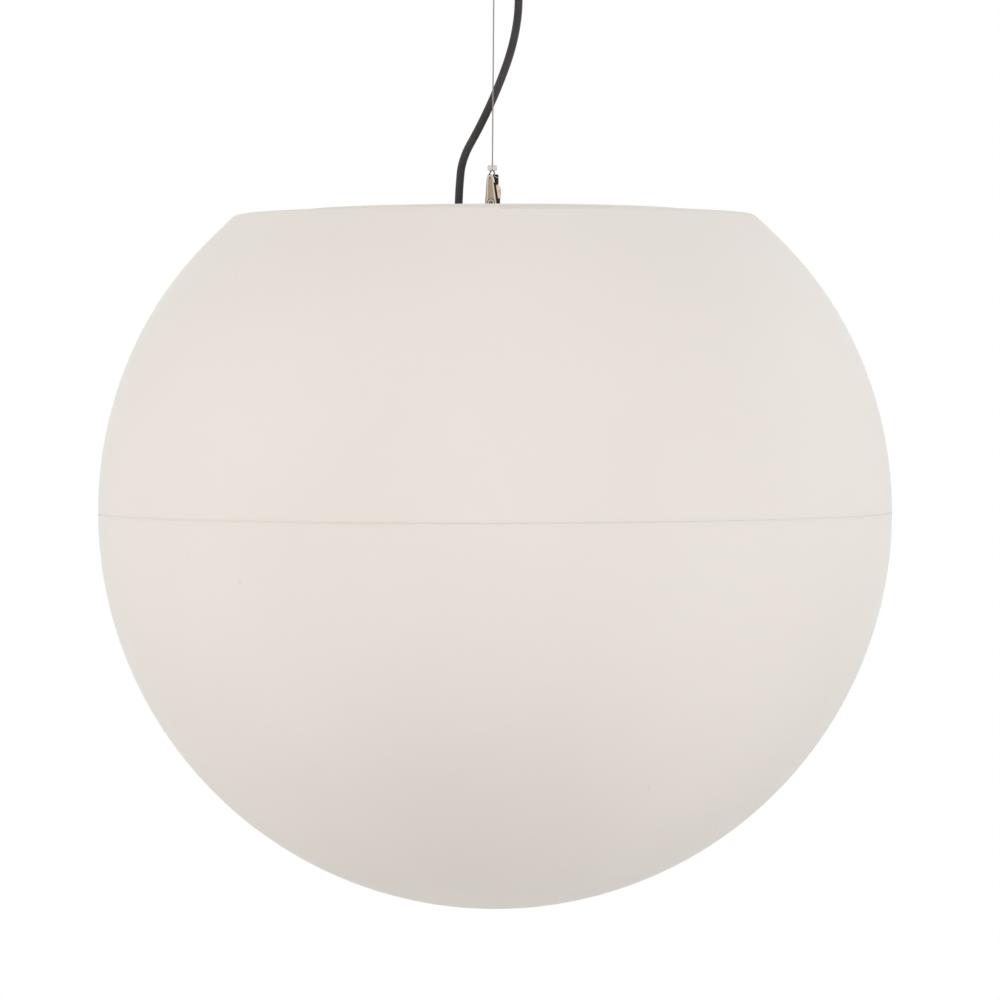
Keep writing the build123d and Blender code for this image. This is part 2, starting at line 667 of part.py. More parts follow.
with BuildPart() as carrier_screws:
    with Locations((0, 0, WELL_FLOOR_Z)):
        with GridLocations(0, CARRIER_SPAN + CARRIER_FOOT, 1, 2):
            Cylinder(CARRIER_SCREW_HEAD_R, CARRIER_SCREW_HEAD_T, align=UP)
            Cylinder(CARRIER_SCREW_R, CARRIER_SCREW_LENGTH, align=DOWN)
    heads = carrier_screws.edges().filter_by(GeomType.CIRCLE).group_by(Axis.Z)[-1]
    fillet(heads, CARRIER_SCREW_HEAD_T / 3)

with BuildPart() as holder_stem:
    with BuildSketch(Plane.XY.offset(CARRIER_PLATE_Z - STEM_BELOW)):
        Circle(STEM_R)
        Circle(STEM_BORE_R, mode=Mode.SUBTRACT)
    extrude(amount=stem_top_z - CARRIER_PLATE_Z + STEM_BELOW)

stem_nut = hex_nut(
    STEM_NUT_AF, STEM_R + THREAD_PLAY, STEM_NUT_T, (0, 0, CARRIER_PLATE_Z + CARRIER_SHEET)
)

with BuildPart() as holder_cap:
    with BuildSketch(Plane.XZ):
        with BuildLine():
            Polyline(
                (STEM_R + THREAD_PLAY, CARRIER_PLATE_Z),
                (HOLDER_CAP_SHOULDER_R, CARRIER_PLATE_Z),
                (HOLDER_R, CARRIER_PLATE_Z - HOLDER_CAP_HEIGHT / 2),
                (HOLDER_R, HOLDER_CORE_Z),
                (HOLDER_R - HOLDER_WALL, HOLDER_CORE_Z),
                (HOLDER_R - HOLDER_WALL, CARRIER_PLATE_Z - HOLDER_CAP_HEIGHT / 2),
                (HOLDER_CAP_SHOULDER_R - HOLDER_WALL, CARRIER_PLATE_Z - STEM_BELOW),
                (STEM_R + THREAD_PLAY, CARRIER_PLATE_Z - STEM_BELOW),
                close=True,
            )
        make_face()
    revolve(axis=Axis.Z)

shell_in_r = BULB_THREAD_R + BULB_PLAY
shell_out_r = shell_in_r + SCREW_SHELL_WALL
skirt_z = HOLDER_CORE_Z - HOLDER_SKIRT_HEIGHT

with BuildPart() as holder_skirt:
    with BuildSketch(Plane.XY.offset(skirt_z)):
        Circle(HOLDER_R)
        Circle(HOLDER_R - HOLDER_WALL, mode=Mode.SUBTRACT)
    extrude(amount=HOLDER_SKIRT_HEIGHT)
    fillet(holder_skirt.edges().group_by(Axis.Z)[0], HOLDER_WALL / 3)

with BuildPart() as holder_core:
    with Locations((0, 0, HOLDER_CORE_Z)):
        Cylinder(HOLDER_R - HOLDER_WALL - THREAD_PLAY, HOLDER_CORE_HEIGHT, align=DOWN)

thread_top_z = HOLDER_CORE_Z - HOLDER_CORE_HEIGHT

with BuildPart() as screw_shell:
    with BuildSketch(Plane.XY.offset(thread_top_z - SCREW_SHELL_HEIGHT)):
        Circle(shell_out_r)
        Circle(shell_in_r, mode=Mode.SUBTRACT)
    extrude(amount=SCREW_SHELL_HEIGHT)

with BuildPart() as centre_contact:
    with Locations((0, 0, thread_top_z)):
        Box(2 * BULB_INSULATOR_R, CONTACT_WIDTH, CONTACT_T, align=DOWN)

# ---------------------------------------------------------------------------------------------
# Bulb
# ---------------------------------------------------------------------------------------------

tip_z = CONTACT_Z - BULB_TIP_HEIGHT
insulator_z = tip_z - BULB_INSULATOR_HEIGHT
thread_length = BULB_THREAD_COUNT * BULB_THREAD_PITCH
bulb_cap_z = insulator_z - thread_length
bulb_body_z = bulb_cap_z - BULB_BODY_HEIGHT
glass_centre_z = bulb_body_z - sqrt(BULB_GLASS_R**2 - BULB_BODY_R**2)

with BuildPart() as bulb_tip:
    with Locations((0, 0, tip_z)):
        Cylinder(BULB_TIP_R, BULB_TIP_HEIGHT, align=UP)
    fillet(bulb_tip.edges().group_by(Axis.Z)[-1], BULB_TIP_HEIGHT / 2)

with BuildPart() as bulb_insulator:
    with Locations((0, 0, insulator_z)):
        Cone(BULB_INSULATOR_R, 1.2 * BULB_TIP_R, BULB_INSULATOR_HEIGHT, align=UP)

with BuildPart() as bulb_cap:
    with BuildSketch(Plane.XZ):
        with BuildLine():
            outline = thread_outline(
                BULB_THREAD_R, BULB_THREAD_DEPTH, bulb_cap_z, BULB_THREAD_COUNT, BULB_THREAD_PITCH
            )
            inside_r = BULB_THREAD_R - BULB_THREAD_DEPTH - BULB_CAP_SHEET
            inside = [(inside_r, insulator_z), (inside_r, bulb_cap_z)]
            Polyline(*outline, *inside, close=True)
        make_face()
    revolve(axis=Axis.Z)

with BuildPart() as bulb_body:
    with BuildSketch(Plane.XZ):
        with BuildLine():
            Polyline(
                (0, bulb_body_z),
                (BULB_BODY_R, bulb_body_z),
                (BULB_BODY_R, bulb_body_z + BULB_BODY_HEIGHT / 3),
                (BULB_THREAD_R, bulb_cap_z),
                (0, bulb_cap_z),
                close=True,
            )
        make_face()
    revolve(axis=Axis.Z)

with BuildPart() as bulb_glass:
    with Locations((0, 0, glass_centre_z)):
        Sphere(BULB_GLASS_R)
        Sphere(BULB_GLASS_R - BULB_GLASS_WALL, mode=Mode.SUBTRACT)
    split(bisect_by=Plane.XY.offset(bulb_body_z), keep=Keep.BOTTOM)

# ---------------------------------------------------------------------------------------------
# Ceiling cup
# ---------------------------------------------------------------------------------------------

with BuildPart() as canopy_seal:
    with BuildSketch():
        Circle(CANOPY_R)
        Circle(CANOPY_INNER_R, mode=Mode.SUBTRACT)
    extrude(amount=-CANOPY_SEAL_T)

with BuildPart() as canopy:
    with Locations((0, 0, CANOPY_TOP_Z)):
        Cylinder(CANOPY_R, CANOPY_DEPTH, align=DOWN)
    fillet(canopy.edges().group_by(Axis.Z)[0], CANOPY_EDGE_R)
    offset(amount=-CANOPY_WALL, openings=canopy.faces().sort_by(Axis.Z)[-1])
    with Locations((0, 0, CANOPY_FLOOR_Z)):
        Cylinder(WIRE_HOLE_R, CANOPY_WALL, align=UP, mode=Mode.SUBTRACT)
    with Locations((CABLE_TOP_X, CABLE_TOP_Y, CANOPY_FLOOR_Z)):
        Cylinder(GROMMET_CORE_R + THREAD_PLAY, CANOPY_WALL, align=UP, mode=Mode.SUBTRACT)
    with BuildSketch(Plane.YZ):
        with Locations((0, -CANOPY_SCREW_DOWN)):
            Circle(CANOPY_SCREW_R + SCREW_PLAY)
    extrude(amount=CANOPY_R, both=True, mode=Mode.SUBTRACT)

with BuildPart() as ceiling_bracket:
    with BuildSketch():
        Rectangle(2 * (EAR_FACE_X - BRACKET_NECK), BRACKET_WIDTH)
        Rectangle(2 * EAR_FACE_X, EAR_WIDTH)
        with Locations((0, -BRACKET_WIDTH / 2)):
            Rectangle(WING_WIDTH, WING_REACH, align=(Align.CENTER, Align.MAX))
        Circle(HOOK_SHANK_R + THREAD_PLAY, mode=Mode.SUBTRACT)
        with GridLocations(CEILING_SCREW_SPACING, 0, 2, 1):
            SlotOverall(CEILING_SLOT_LENGTH, CEILING_SLOT_WIDTH, mode=Mode.SUBTRACT)
    extrude(amount=-BRACKET_T)
    for side in (-1, 1):
        with Locations((side * (EAR_FACE_X - BRACKET_T / 2), 0, 0)):
            Box(BRACKET_T, EAR_WIDTH, EAR_DROP, align=DOWN)
    with BuildSketch(Plane.YZ):
        with Locations((0, -CANOPY_SCREW_DOWN)):
            Circle(CANOPY_SCREW_R + THREAD_PLAY)
    extrude(amount=CANOPY_R, both=True, mode=Mode.SUBTRACT)

with BuildPart() as canopy_screws:
    for side in (-1, 1):
        outward = Plane((side * CANOPY_R, 0, -CANOPY_SCREW_DOWN), z_dir=(side, 0, 0))
        with BuildSketch(outward):
            Circle(CANOPY_SCREW_HEAD_R)
        extrude(amount=CANOPY_SCREW_HEAD_T)
        with BuildSketch(outward):
            Circle(CANOPY_SCREW_R)
        extrude(amount=-CANOPY_SCREW_LENGTH)

with BuildPart() as ceiling_hook:
    with Locations((0, 0, PIVOT_Z + HOOK_RING_R)):
        Torus(HOOK_RING_R, HOOK_WIRE_R, rotation=(0, 90, 0))
    shank_end_z = PIVOT_Z + 2 * HOOK_RING_R
    with Locations((0, 0, shank_end_z)):
        Cylinder(HOOK_SHANK_R, -shank_end_z - SCREW_PLAY, align=UP)
    with Locations((0, 0, -BRACKET_T - HOOK_NUT_T)):
        Cylinder(HOOK_COLLAR_R, HOOK_COLLAR_T, align=DOWN)

hook_nut = hex_nut(
    HOOK_NUT_AF, HOOK_SHANK_R + THREAD_PLAY, HOOK_NUT_T, (0, 0, -BRACKET_T - HOOK_NUT_T)
)

canopy_inside_z = CANOPY_FLOOR_Z + CANOPY_WALL

with BuildPart() as cable_grommet:
    with Locations((CABLE_TOP_X, CABLE_TOP_Y, CANOPY_FLOOR_Z)):
        Cylinder(GROMMET_LIP_R, GROMMET_LIP_T, align=DOWN)
        Cylinder(GROMMET_CORE_R, CANOPY_WALL, align=UP)
    with Locations((CABLE_TOP_X, CABLE_TOP_Y, CANOPY_FLOOR_Z - GROMMET_LIP_T)):
        Cone(GROMMET_TIP_R, GROMMET_BASE_R, GROMMET_NOSE_LENGTH, align=DOWN)
    with Locations((CABLE_TOP_X, CABLE_TOP_Y, canopy_inside_z)):
        Cylinder(GROMMET_LIP_R, GROMMET_LIP_T, align=UP)
        Hole(CABLE_R + BORE_PLAY)

with BuildPart() as cord_grip:
    with Locations((CABLE_TOP_X, CABLE_TOP_Y, canopy_inside_z)):
        Box(GRIP_LENGTH, GRIP_WIDTH, GRIP_HEIGHT, align=UP)
        Cylinder(
            GROMMET_LIP_R + BORE_PLAY, GROMMET_LIP_T + BORE_PLAY, align=UP, mode=Mode.SUBTRACT
        )
    with Locations((CABLE_TOP_X, CABLE_TOP_Y, canopy_inside_z + GRIP_HEIGHT)):
        Hole(CABLE_R + BORE_PLAY)
        with GridLocations(0, GRIP_WIDTH - 2 * GRIP_SCREW_HEAD_R, 1, 2):
            Hole(GRIP_SCREW_R + THREAD_PLAY, GRIP_HEIGHT / 2)

with BuildPart() as grip_screws:
    with Locations((CABLE_TOP_X, CABLE_TOP_Y, canopy_inside_z + GRIP_HEIGHT)):
        with GridLocations(0, GRIP_WIDTH - 2 * GRIP_SCREW_HEAD_R, 1, 2):
            Cylinder(GRIP_SCREW_HEAD_R, GRIP_SCREW_R, align=UP)
            Cylinder(GRIP_SCREW_R, GRIP_HEIGHT / 2 - THREAD_PLAY, align=DOWN)

terminal_y = -BRACKET_WIDTH / 2 - WING_REACH / 2

with BuildPart() as terminal_block:
    with Locations((0, terminal_y, -BRACKET_T)):
        Box(TERMINAL_LENGTH, TERMINAL_WIDTH, TERMINAL_HEIGHT, align=DOWN)
    with Locations((0, terminal_y, -BRACKET_T - TERMINAL_HEIGHT)):
        with GridLocations(TERMINAL_PITCH, 0, TERMINAL_POLES, 1):
            Cylinder(
                TERMINAL_SCREW_R + THREAD_PLAY,
                TERMINAL_HEIGHT / 2,
                align=UP,
                mode=Mode.SUBTRACT,
            )

with BuildPart() as terminal_screws:
    with Locations((0, terminal_y, -BRACKET_T - TERMINAL_HEIGHT)):
        with GridLocations(TERMINAL_PITCH, 0, TERMINAL_POLES, 1):
            Cylinder(TERMINAL_SCREW_R, TERMINAL_HEIGHT / 2, align=UP)


def supply_lead(pole_x, shift):
    """One core from the top of the cable, in front of the hook, to its terminal pole."""
    cable_x, cable_y, cable_z = CABLE_ROUTE[-1]
    terminal_front_y = terminal_y + TERMINAL_WIDTH / 2
    entry_z = -BRACKET_T - TERMINAL_HEIGHT / 2 - shift
    turn_y = terminal_front_y + 3 * CORE_R
    with BuildLine() as route:
        FilletPolyline(
            (cable_x + shift, cable_y, cable_z),
            (cable_x + shift, cable_y, entry_z),
            (cable_x + shift, turn_y, entry_z),
            (pole_x, turn_y, entry_z),
            (pole_x, terminal_front_y, entry_z),
            radius=CORE_R * 1.2,
        )
    return round_bar(route.line, CORE_R)


supply_live = supply_lead(TERMINAL_PITCH / 2, -CORE_SPACING / 2)
supply_neutral = supply_lead(-TERMINAL_PITCH / 2, CORE_SPACING / 2)

# ---------------------------------------------------------------------------------------------
# Hanging wire
# ---------------------------------------------------------------------------------------------

upper_bend_r = HOOK_WIRE_R + LOOP_PLAY + WIRE_R
upper_loop_low_z = PIVOT_Z - UPPER_LOOP_LENGTH
upper_loop = round_bar(
    loop_path((0, 0, PIVOT_Z), (0, 0, upper_loop_low_z), upper_bend_r), WIRE_R
)

bead_z = EYE_BAR_Z + COLLAR_BEAD_RISE
tail_pin_z = EYE_BAR_Z + CLIP_TAIL_PIN_RISE
lower_bend_r = CLIP_TAIL_PIN_R + LOOP_PLAY + WIRE_R
lower_loop_top = (LOWER_LOOP_X, 0, bead_z + LOOP_BITE - lower_bend_r)
lower_loop_low = (CLIP_TAIL_PIN_X, 0, tail_pin_z)
lower_loop = round_bar(loop_path(lower_loop_top, lower_loop_low, lower_bend_r), WIRE_R)

wire_top_z = upper_loop_low_z - upper_bend_r - WIRE_R - LOOP_BITE
wire_end_z = bead_z + LOOP_BITE + WIRE_R + LOOP_BITE
with BuildLine() as wire_line:
    Line((0, 0, wire_top_z), (LOWER_LOOP_X, 0, wire_end_z))
suspension_wire = round_bar(wire_line.line, WIRE_R)

with BuildPart() as upper_sleeve:
    with Locations((0, 0, upper_loop_low_z - upper_bend_r + LOOP_BITE)):
        Cylinder(UPPER_SLEEVE_R, UPPER_SLEEVE_LENGTH, align=DOWN)
    add(upper_loop.part, mode=Mode.SUBTRACT)
    add(suspension_wire.part, mode=Mode.SUBTRACT)

with BuildPart() as wire_bead:
    with Locations((LOWER_LOOP_X, 0, bead_z)):
        Cylinder(COLLAR_BEAD_R, COLLAR_BEAD_HEIGHT, align=UP)
    fillet(wire_bead.edges().filter_by(GeomType.CIRCLE), COLLAR_BEAD_EDGE_R)
    add(lower_loop.part, mode=Mode.SUBTRACT)
    add(suspension_wire.part, mode=Mode.SUBTRACT)

# ---------------------------------------------------------------------------------------------
# Snap clip
# ---------------------------------------------------------------------------------------------

half_clip = CLIP_WIDTH / 2
pivot_x, pivot_z = CLIP_PIVOT
head_z = EYE_BAR_Z + CLIP_HEAD_RISE
shoulder_z = EYE_BAR_Z + CLIP_SHOULDER_RISE
tip_top_z = EYE_BAR_Z + CLIP_TIP_RISE
seat_z = EYE_BAR_Z - EYE_WIRE_R - CLIP_SEAT_GAP + CLIP_SEAT_R
hook_out_r = CLIP_SEAT_R + CLIP_HOOK_T
clip_left_x = EYE_X - hook_out_r
clip_right_x = CLIP_SHOULDER_X
lance_x = pivot_x + SPRING_COIL_R + SPRING_WIRE_R + PIN_PLAY

with BuildPart() as clip_body:
    with BuildSketch(Plane.XZ):
        with BuildLine():
            Line((CLIP_HEAD_X - CLIP_HEAD_R, head_z), (clip_left_x, pivot_z))
            Line((clip_left_x, pivot_z), (clip_left_x, seat_z))
            bow = CenterArc((EYE_X, seat_z), hook_out_r, 180, 180)
            Line(bow @ 1, (EYE_X + hook_out_r, tip_top_z))
            Line((EYE_X + hook_out_r, tip_top_z), (EYE_X + CLIP_SEAT_R, tip_top_z))
            Line((EYE_X + CLIP_SEAT_R, tip_top_z), (EYE_X + CLIP_SEAT_R, seat_z))
            CenterArc((EYE_X, seat_z), CLIP_SEAT_R, 180, 180)
            Line((EYE_X - CLIP_SEAT_R, seat_z), (EYE_X - CLIP_SEAT_R, shoulder_z))
            Line((EYE_X - CLIP_SEAT_R, shoulder_z), (clip_right_x, shoulder_z))
            Line((clip_right_x, shoulder_z), (clip_right_x, pivot_z))
            Line((clip_right_x, pivot_z), (CLIP_HEAD_X + CLIP_HEAD_R, head_z))
            CenterArc((CLIP_HEAD_X, head_z), CLIP_HEAD_R, 0, 180)
        make_face()
    extrude(amount=half_clip, both=True)
    for side in (-1, 1):
        with BuildSketch(Plane((pivot_x, side * half_clip, pivot_z), z_dir=(0, side, 0))):
            Circle(CLIP_BOSS_R)
        extrude(amount=CLIP_BOSS_T)
    web_x = clip_left_x + CLIP_SHEET
    head_web_x = CLIP_HEAD_X - CLIP_HEAD_R + CLIP_SHEET
    with BuildSketch(Plane.XZ):
        with BuildLine():
            Polyline(
                (web_x, tip_top_z + CLIP_SHEET),
                (web_x, pivot_z),
                (head_web_x, head_z - CLIP_HEAD_R),
                (clip_left_x, head_z - CLIP_HEAD_R),
                (clip_left_x, head_z + 2 * CLIP_HEAD_R),
                (clip_right_x + CLIP_SHEET, head_z + 2 * CLIP_HEAD_R),
                (clip_right_x + CLIP_SHEET, tip_top_z + CLIP_SHEET),
                close=True,
            )
        make_face()
    extrude(amount=half_clip - CLIP_SHEET, both=True, mode=Mode.SUBTRACT)
    with BuildSketch(Plane.XZ):
        with Locations((pivot_x, pivot_z)):
            Circle(CLIP_PIN_R + PIN_PLAY)
        with Locations((CLIP_TAIL_PIN_X, tail_pin_z)):
            Circle(CLIP_TAIL_PIN_R + PIN_PLAY)
    extrude(amount=CLIP_WIDTH, both=True, mode=Mode.SUBTRACT)
    with Locations((lance_x, half_clip - CLIP_SHEET / 2, pivot_z + LANCE_RISE)):
        lance = (Align.MIN, Align.MAX, Align.CENTER)
        Box(LANCE_T, LANCE_DEPTH, LANCE_HEIGHT, align=lance)

with BuildPart() as clip_tail_pin:
    with BuildSketch(Plane.XZ):
        with Locations((CLIP_TAIL_PIN_X, tail_pin_z)):
            Circle(CLIP_TAIL_PIN_R)
    extrude(amount=half_clip + CLIP_PIN_HEAD_T, both=True)

pin_reach = half_clip + CLIP_BOSS_T

with BuildPart() as clip_pin:
    with BuildSketch(Plane.XZ):
        with Locations(CLIP_PIVOT):
            Circle(CLIP_PIN_R)
    extrude(amount=pin_reach, both=True)
    for side in (-1, 1):
        with BuildSketch(Plane((pivot_x, side * pin_reach, pivot_z), z_dir=(0, side, 0))):
            Circle(CLIP_PIN_HEAD_R)
        extrude(amount=CLIP_PIN_HEAD_T)

gate_x = EYE_X + CLIP_SEAT_R - KEEPER_GAP
gate_z = tip_top_z - CLIP_HOOK_T
stem_x = gate_x - GATE_STEM_WIDTH
stem_z = tip_top_z + GATE_STEM_RISE
grip_x = CLIP_HEAD_X + CLIP_HEAD_R + KEEPER_BODY_GAP
grip_right_x = grip_x + KEEPER_GRIP_WIDTH
grip_top_z = head_z + KEEPER_GRIP_RISE
grip_low_z = head_z - KEEPER_GRIP_DROP
arm_x = clip_right_x + KEEPER_BODY_GAP
arm_right_x = arm_x + KEEPER_ARM_WIDTH
arm_low_z = pivot_z + KEEPER_ARM_RISE
tail_right_x = arm_right_x - KEEPER_TAIL_SETBACK
tail_x = tail_right_x - KEEPER_TAIL_WIDTH
tail_low_z = pivot_z - KEEPER_TAIL_DROP
web_end_x = tail_right_x - CLIP_SHEET / 2
rib_high_x = CLIP_HEAD_X + CLIP_HEAD_R
rib_high_z = head_z - KEEPER_RIB_DROP

with BuildPart() as clip_keeper:
    with BuildSketch(Plane.XZ):
        with BuildLine():
            Polyline(
                (arm_x, arm_low_z - 2 * KEEPER_BEVEL),
                (grip_x, grip_top_z - 2 * KEEPER_BEVEL),
                (grip_x + KEEPER_BEVEL, grip_top_z - KEEPER_BEVEL / 2),
                ((grip_x + grip_right_x) / 2, grip_top_z),
                (grip_right_x, grip_top_z - KEEPER_BEVEL),
                (grip_right_x, grip_low_z),
                (arm_right_x, grip_low_z - KEEPER_GRIP_TAPER),
                (arm_right_x, arm_low_z),
                (tail_right_x, arm_low_z - KEEPER_BEVEL),
                (tail_right_x, tail_low_z),
                (tail_x, tail_low_z),
                close=True,
            )
        handle_side = make_face()
    extrude(amount=half_clip, both=True)
    with BuildSketch(Plane.XZ):
        with Locations((-CLIP_SHEET, 0)):
            add(handle_side)
    extrude(amount=half_clip - CLIP_SHEET, both=True, mode=Mode.SUBTRACT)
    with BuildSketch(Plane.XZ.offset(PIN_PLAY)):
        with BuildLine():
            Polyline(
                (web_end_x, arm_low_z - KEEPER_BEVEL),
                (web_end_x, tail_low_z),
                (gate_x, stem_z),
                (gate_x, gate_z),
                (stem_x, gate_z),
                (stem_x, stem_z),
                (pivot_x - KEEPER_HUB_R, pivot_z - KEEPER_HUB_R / 2),
                (pivot_x - KEEPER_HUB_R, pivot_z + KEEPER_HUB_R / 2),
                (pivot_x, pivot_z + KEEPER_HUB_R),
                (clip_right_x - KEEPER_RIB_DEPTH, pivot_z + 2 * KEEPER_HUB_R),
                (rib_high_x - KEEPER_RIB_DEPTH, rib_high_z),
                (grip_x + 2 * KEEPER_BEVEL, rib_high_z),
                (web_end_x, grip_low_z - KEEPER_GRIP_TAPER),
                close=True,
            )
        make_face()
        with Locations(CLIP_PIVOT):
            Circle(CLIP_PIN_R + PIN_PLAY, mode=Mode.SUBTRACT)
    extrude(amount=KEEPER_THICKNESS)
    with Locations((gate_x, 0, gate_z)):
        gate = (Align.MAX, Align.CENTER, Align.MIN)
        Box(GATE_DEPTH, 2 * KEEPER_THICKNESS, GATE_HEIGHT, align=gate)

coil_y = PIN_PLAY + 1.5 * SPRING_WIRE_R + SPRING_PITCH * SPRING_TURNS
coil_rise = Vector(0, -SPRING_PITCH / (4 * QUARTER), 0)


def coil_point(angle):
    """Point of the spring's coil, which winds from the far side towards the middle."""
    turn = radians(angle)
    arm = Vector(cos(turn), 0, -sin(turn)) * SPRING_COIL_R
    return Vector(pivot_x, coil_y, pivot_z) + arm + coil_rise * angle


def coil_way(angle):
    """Direction of the coil at this angle."""
    turn = radians(angle)
    around = Vector(-sin(turn), 0, -cos(turn)) * radians(1) * SPRING_COIL_R
    return (around + coil_rise).normalized()


with BuildPart() as clip_spring:
    with BuildLine() as spring_line:
        Line(coil_point(0) - coil_way(0) * SPRING_FIXED_LEG, coil_point(0))
        end = 4 * QUARTER * SPRING_TURNS
        for low in range(0, end, QUARTER):
            high = low + QUARTER
            biarc(coil_point(low), coil_way(low), coil_point(high), coil_way(high))
        Line(coil_point(end), coil_point(end) + coil_way(end) * SPRING_GATE_LEG)
    with BuildSketch(Plane(spring_line.line @ 0, z_dir=spring_line.line % 0)):
        Circle(SPRING_WIRE_R)
    sweep(path=spring_line.line)

# ---------------------------------------------------------------------------------------------
# Files
# ---------------------------------------------------------------------------------------------

pieces = {
    "ceiling_bracket": ceiling_bracket,
    "canopy_seal": canopy_seal,
    "canopy": canopy,
    "canopy_screws": canopy_screws,
    "ceiling_hook": ceiling_hook,
    "hook_nut": hook_nut,
    "cable_grommet": cable_grommet,
    "cord_grip": cord_grip,
    "grip_screws": grip_screws,
    "terminal_block": terminal_block,
    "terminal_screws": terminal_screws,
    "supply_live": supply_live,
    "supply_neutral": supply_neutral,
    "upper_loop": upper_loop,
    "upper_sleeve": upper_sleeve,
    "suspension_wire": suspension_wire,
    "wire_bead": wire_bead,
    "lower_loop": lower_loop,
    "clip_body": clip_body,
    "clip_tail_pin": clip_tail_pin,
    "clip_pin": clip_pin,
    "clip_keeper": clip_keeper,
    "clip_spring": clip_spring,
    "power_cable": power_cable,
    "gland_body": gland_body,
    "gland_nut": gland_nut,
    "gland_seal": gland_seal,
    "gland_locknut": gland_locknut,
    "cable_tail": cable_tail,
    "lead_live": lead_live,
    "lead_neutral": lead_neutral,
    "top_dish": top_dish,
    "dish_gasket": dish_gasket,
    "dish_screws": dish_screws,
    "backing_ring": backing_ring,
    "eye_bolt": eye_bolt,
    "eye_washer": eye_washer,
    "eye_nut": eye_nut,
    "upper_shell": upper_shell,
    "holder_carrier": holder_carrier,
    "carrier_screws": carrier_screws,
    "holder_stem": holder_stem,
    "stem_nut": stem_nut,
    "holder_cap": holder_cap,
    "holder_core": holder_core,
    "holder_skirt": holder_skirt,
    "screw_shell": screw_shell,
    "centre_contact": centre_contact,
    "bulb_tip": bulb_tip,
    "bulb_insulator": bulb_insulator,
    "bulb_cap": bulb_cap,
    "bulb_body": bulb_body,
    "bulb_glass": bulb_glass,
    "lower_shell": lower_shell,
    "seam_gasket": seam_gasket,
}

os.makedirs("parts", exist_ok=True)
for name, piece in pieces.items():
    piece.part.label = name
    export_step(piece.part, f"parts/{name}.step")

cable_length = sum(edge.length for edge in cable_line.edges())
cable_volume = pi * CABLE_R**2 * cable_length
print("cable bend radii", [round(radius, 1) for radius in cable_radii])
print("cable length", round(cable_length, 1), "volume", round(power_cable.part.volume, 1))
print("cable section times length", round(cable_volume, 1))
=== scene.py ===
"""Looks of a hanging garden globe light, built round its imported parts. Lengths are in metres."""

import json
import math

import bpy
from mathutils import Euler, Matrix, Vector


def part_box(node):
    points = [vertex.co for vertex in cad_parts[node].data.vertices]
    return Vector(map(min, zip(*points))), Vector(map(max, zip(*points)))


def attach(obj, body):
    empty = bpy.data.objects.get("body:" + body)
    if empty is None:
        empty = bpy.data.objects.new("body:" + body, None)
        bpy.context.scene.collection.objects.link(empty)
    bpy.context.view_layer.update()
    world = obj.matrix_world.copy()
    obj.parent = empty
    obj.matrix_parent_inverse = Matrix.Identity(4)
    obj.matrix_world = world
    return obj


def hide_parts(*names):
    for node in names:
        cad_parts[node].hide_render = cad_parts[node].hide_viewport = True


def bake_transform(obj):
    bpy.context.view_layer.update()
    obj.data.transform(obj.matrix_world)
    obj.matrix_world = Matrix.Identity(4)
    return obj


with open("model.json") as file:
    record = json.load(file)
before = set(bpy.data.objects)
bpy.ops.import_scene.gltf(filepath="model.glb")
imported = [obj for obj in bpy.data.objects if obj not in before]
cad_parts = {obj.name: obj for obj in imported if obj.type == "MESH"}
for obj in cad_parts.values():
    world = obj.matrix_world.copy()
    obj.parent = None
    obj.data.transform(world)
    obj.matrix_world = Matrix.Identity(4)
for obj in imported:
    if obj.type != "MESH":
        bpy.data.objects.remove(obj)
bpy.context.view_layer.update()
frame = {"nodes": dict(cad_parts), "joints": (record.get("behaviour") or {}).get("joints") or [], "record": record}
nodes = frame["nodes"]


def placed(name, data):
    """A new object with this data, linked into the scene."""
    made = bpy.data.objects.new(name, data)
    bpy.context.scene.collection.objects.link(made)
    return made


def built(name, vertices, faces):
    """A new mesh object from vertices and faces."""
    mesh = bpy.data.meshes.new(name)
    mesh.from_pydata(vertices, [], faces)
    return placed(name, mesh)


# ---------------------------------------------------------------------------------------------
# Camera
# ---------------------------------------------------------------------------------------------

GLOBE_R = 0.3
GLOBE_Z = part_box("lower_shell")[0].z + GLOBE_R  # the globe's centre
CAMERA_DISTANCE = 3.6
CAMERA_ABOVE_CENTRE = 0.0973
CAMERA_SENSOR = 36  # mm wide
CAMERA_LENS = 171.0  # mm
CAMERA_REACH = 100
CAMERA_DOWN = 1.405  # degrees
CAMERA_RIGHT = 0.0594  # degrees
CAMERA_ROLL = -0.1  # degrees about its own line of sight

camera_data = bpy.data.cameras.new("photo_camera")
camera_data.sensor_width = CAMERA_SENSOR
camera_data.lens = CAMERA_LENS
camera_data.clip_end = CAMERA_REACH
camera = placed("photo_camera", camera_data)
camera.location = (0, -CAMERA_DISTANCE, GLOBE_Z + CAMERA_ABOVE_CENTRE)
aim = Euler((math.radians(90 - CAMERA_DOWN), 0, math.radians(-CAMERA_RIGHT))).to_matrix()
roll = Matrix.Rotation(math.radians(CAMERA_ROLL), 3, "Z")
camera.rotation_euler = (aim @ roll).to_euler()
bpy.context.scene.camera = camera
bpy.context.scene.view_settings.view_transform = "Standard"

# ---------------------------------------------------------------------------------------------
# Node helpers
# ---------------------------------------------------------------------------------------------

# Noise values crowd round 0.5. These are the parts of their range that get spread out.
DRIFT_RANGE = (0.3, 0.7)
GLOSS_RANGE = (0.25, 0.75)


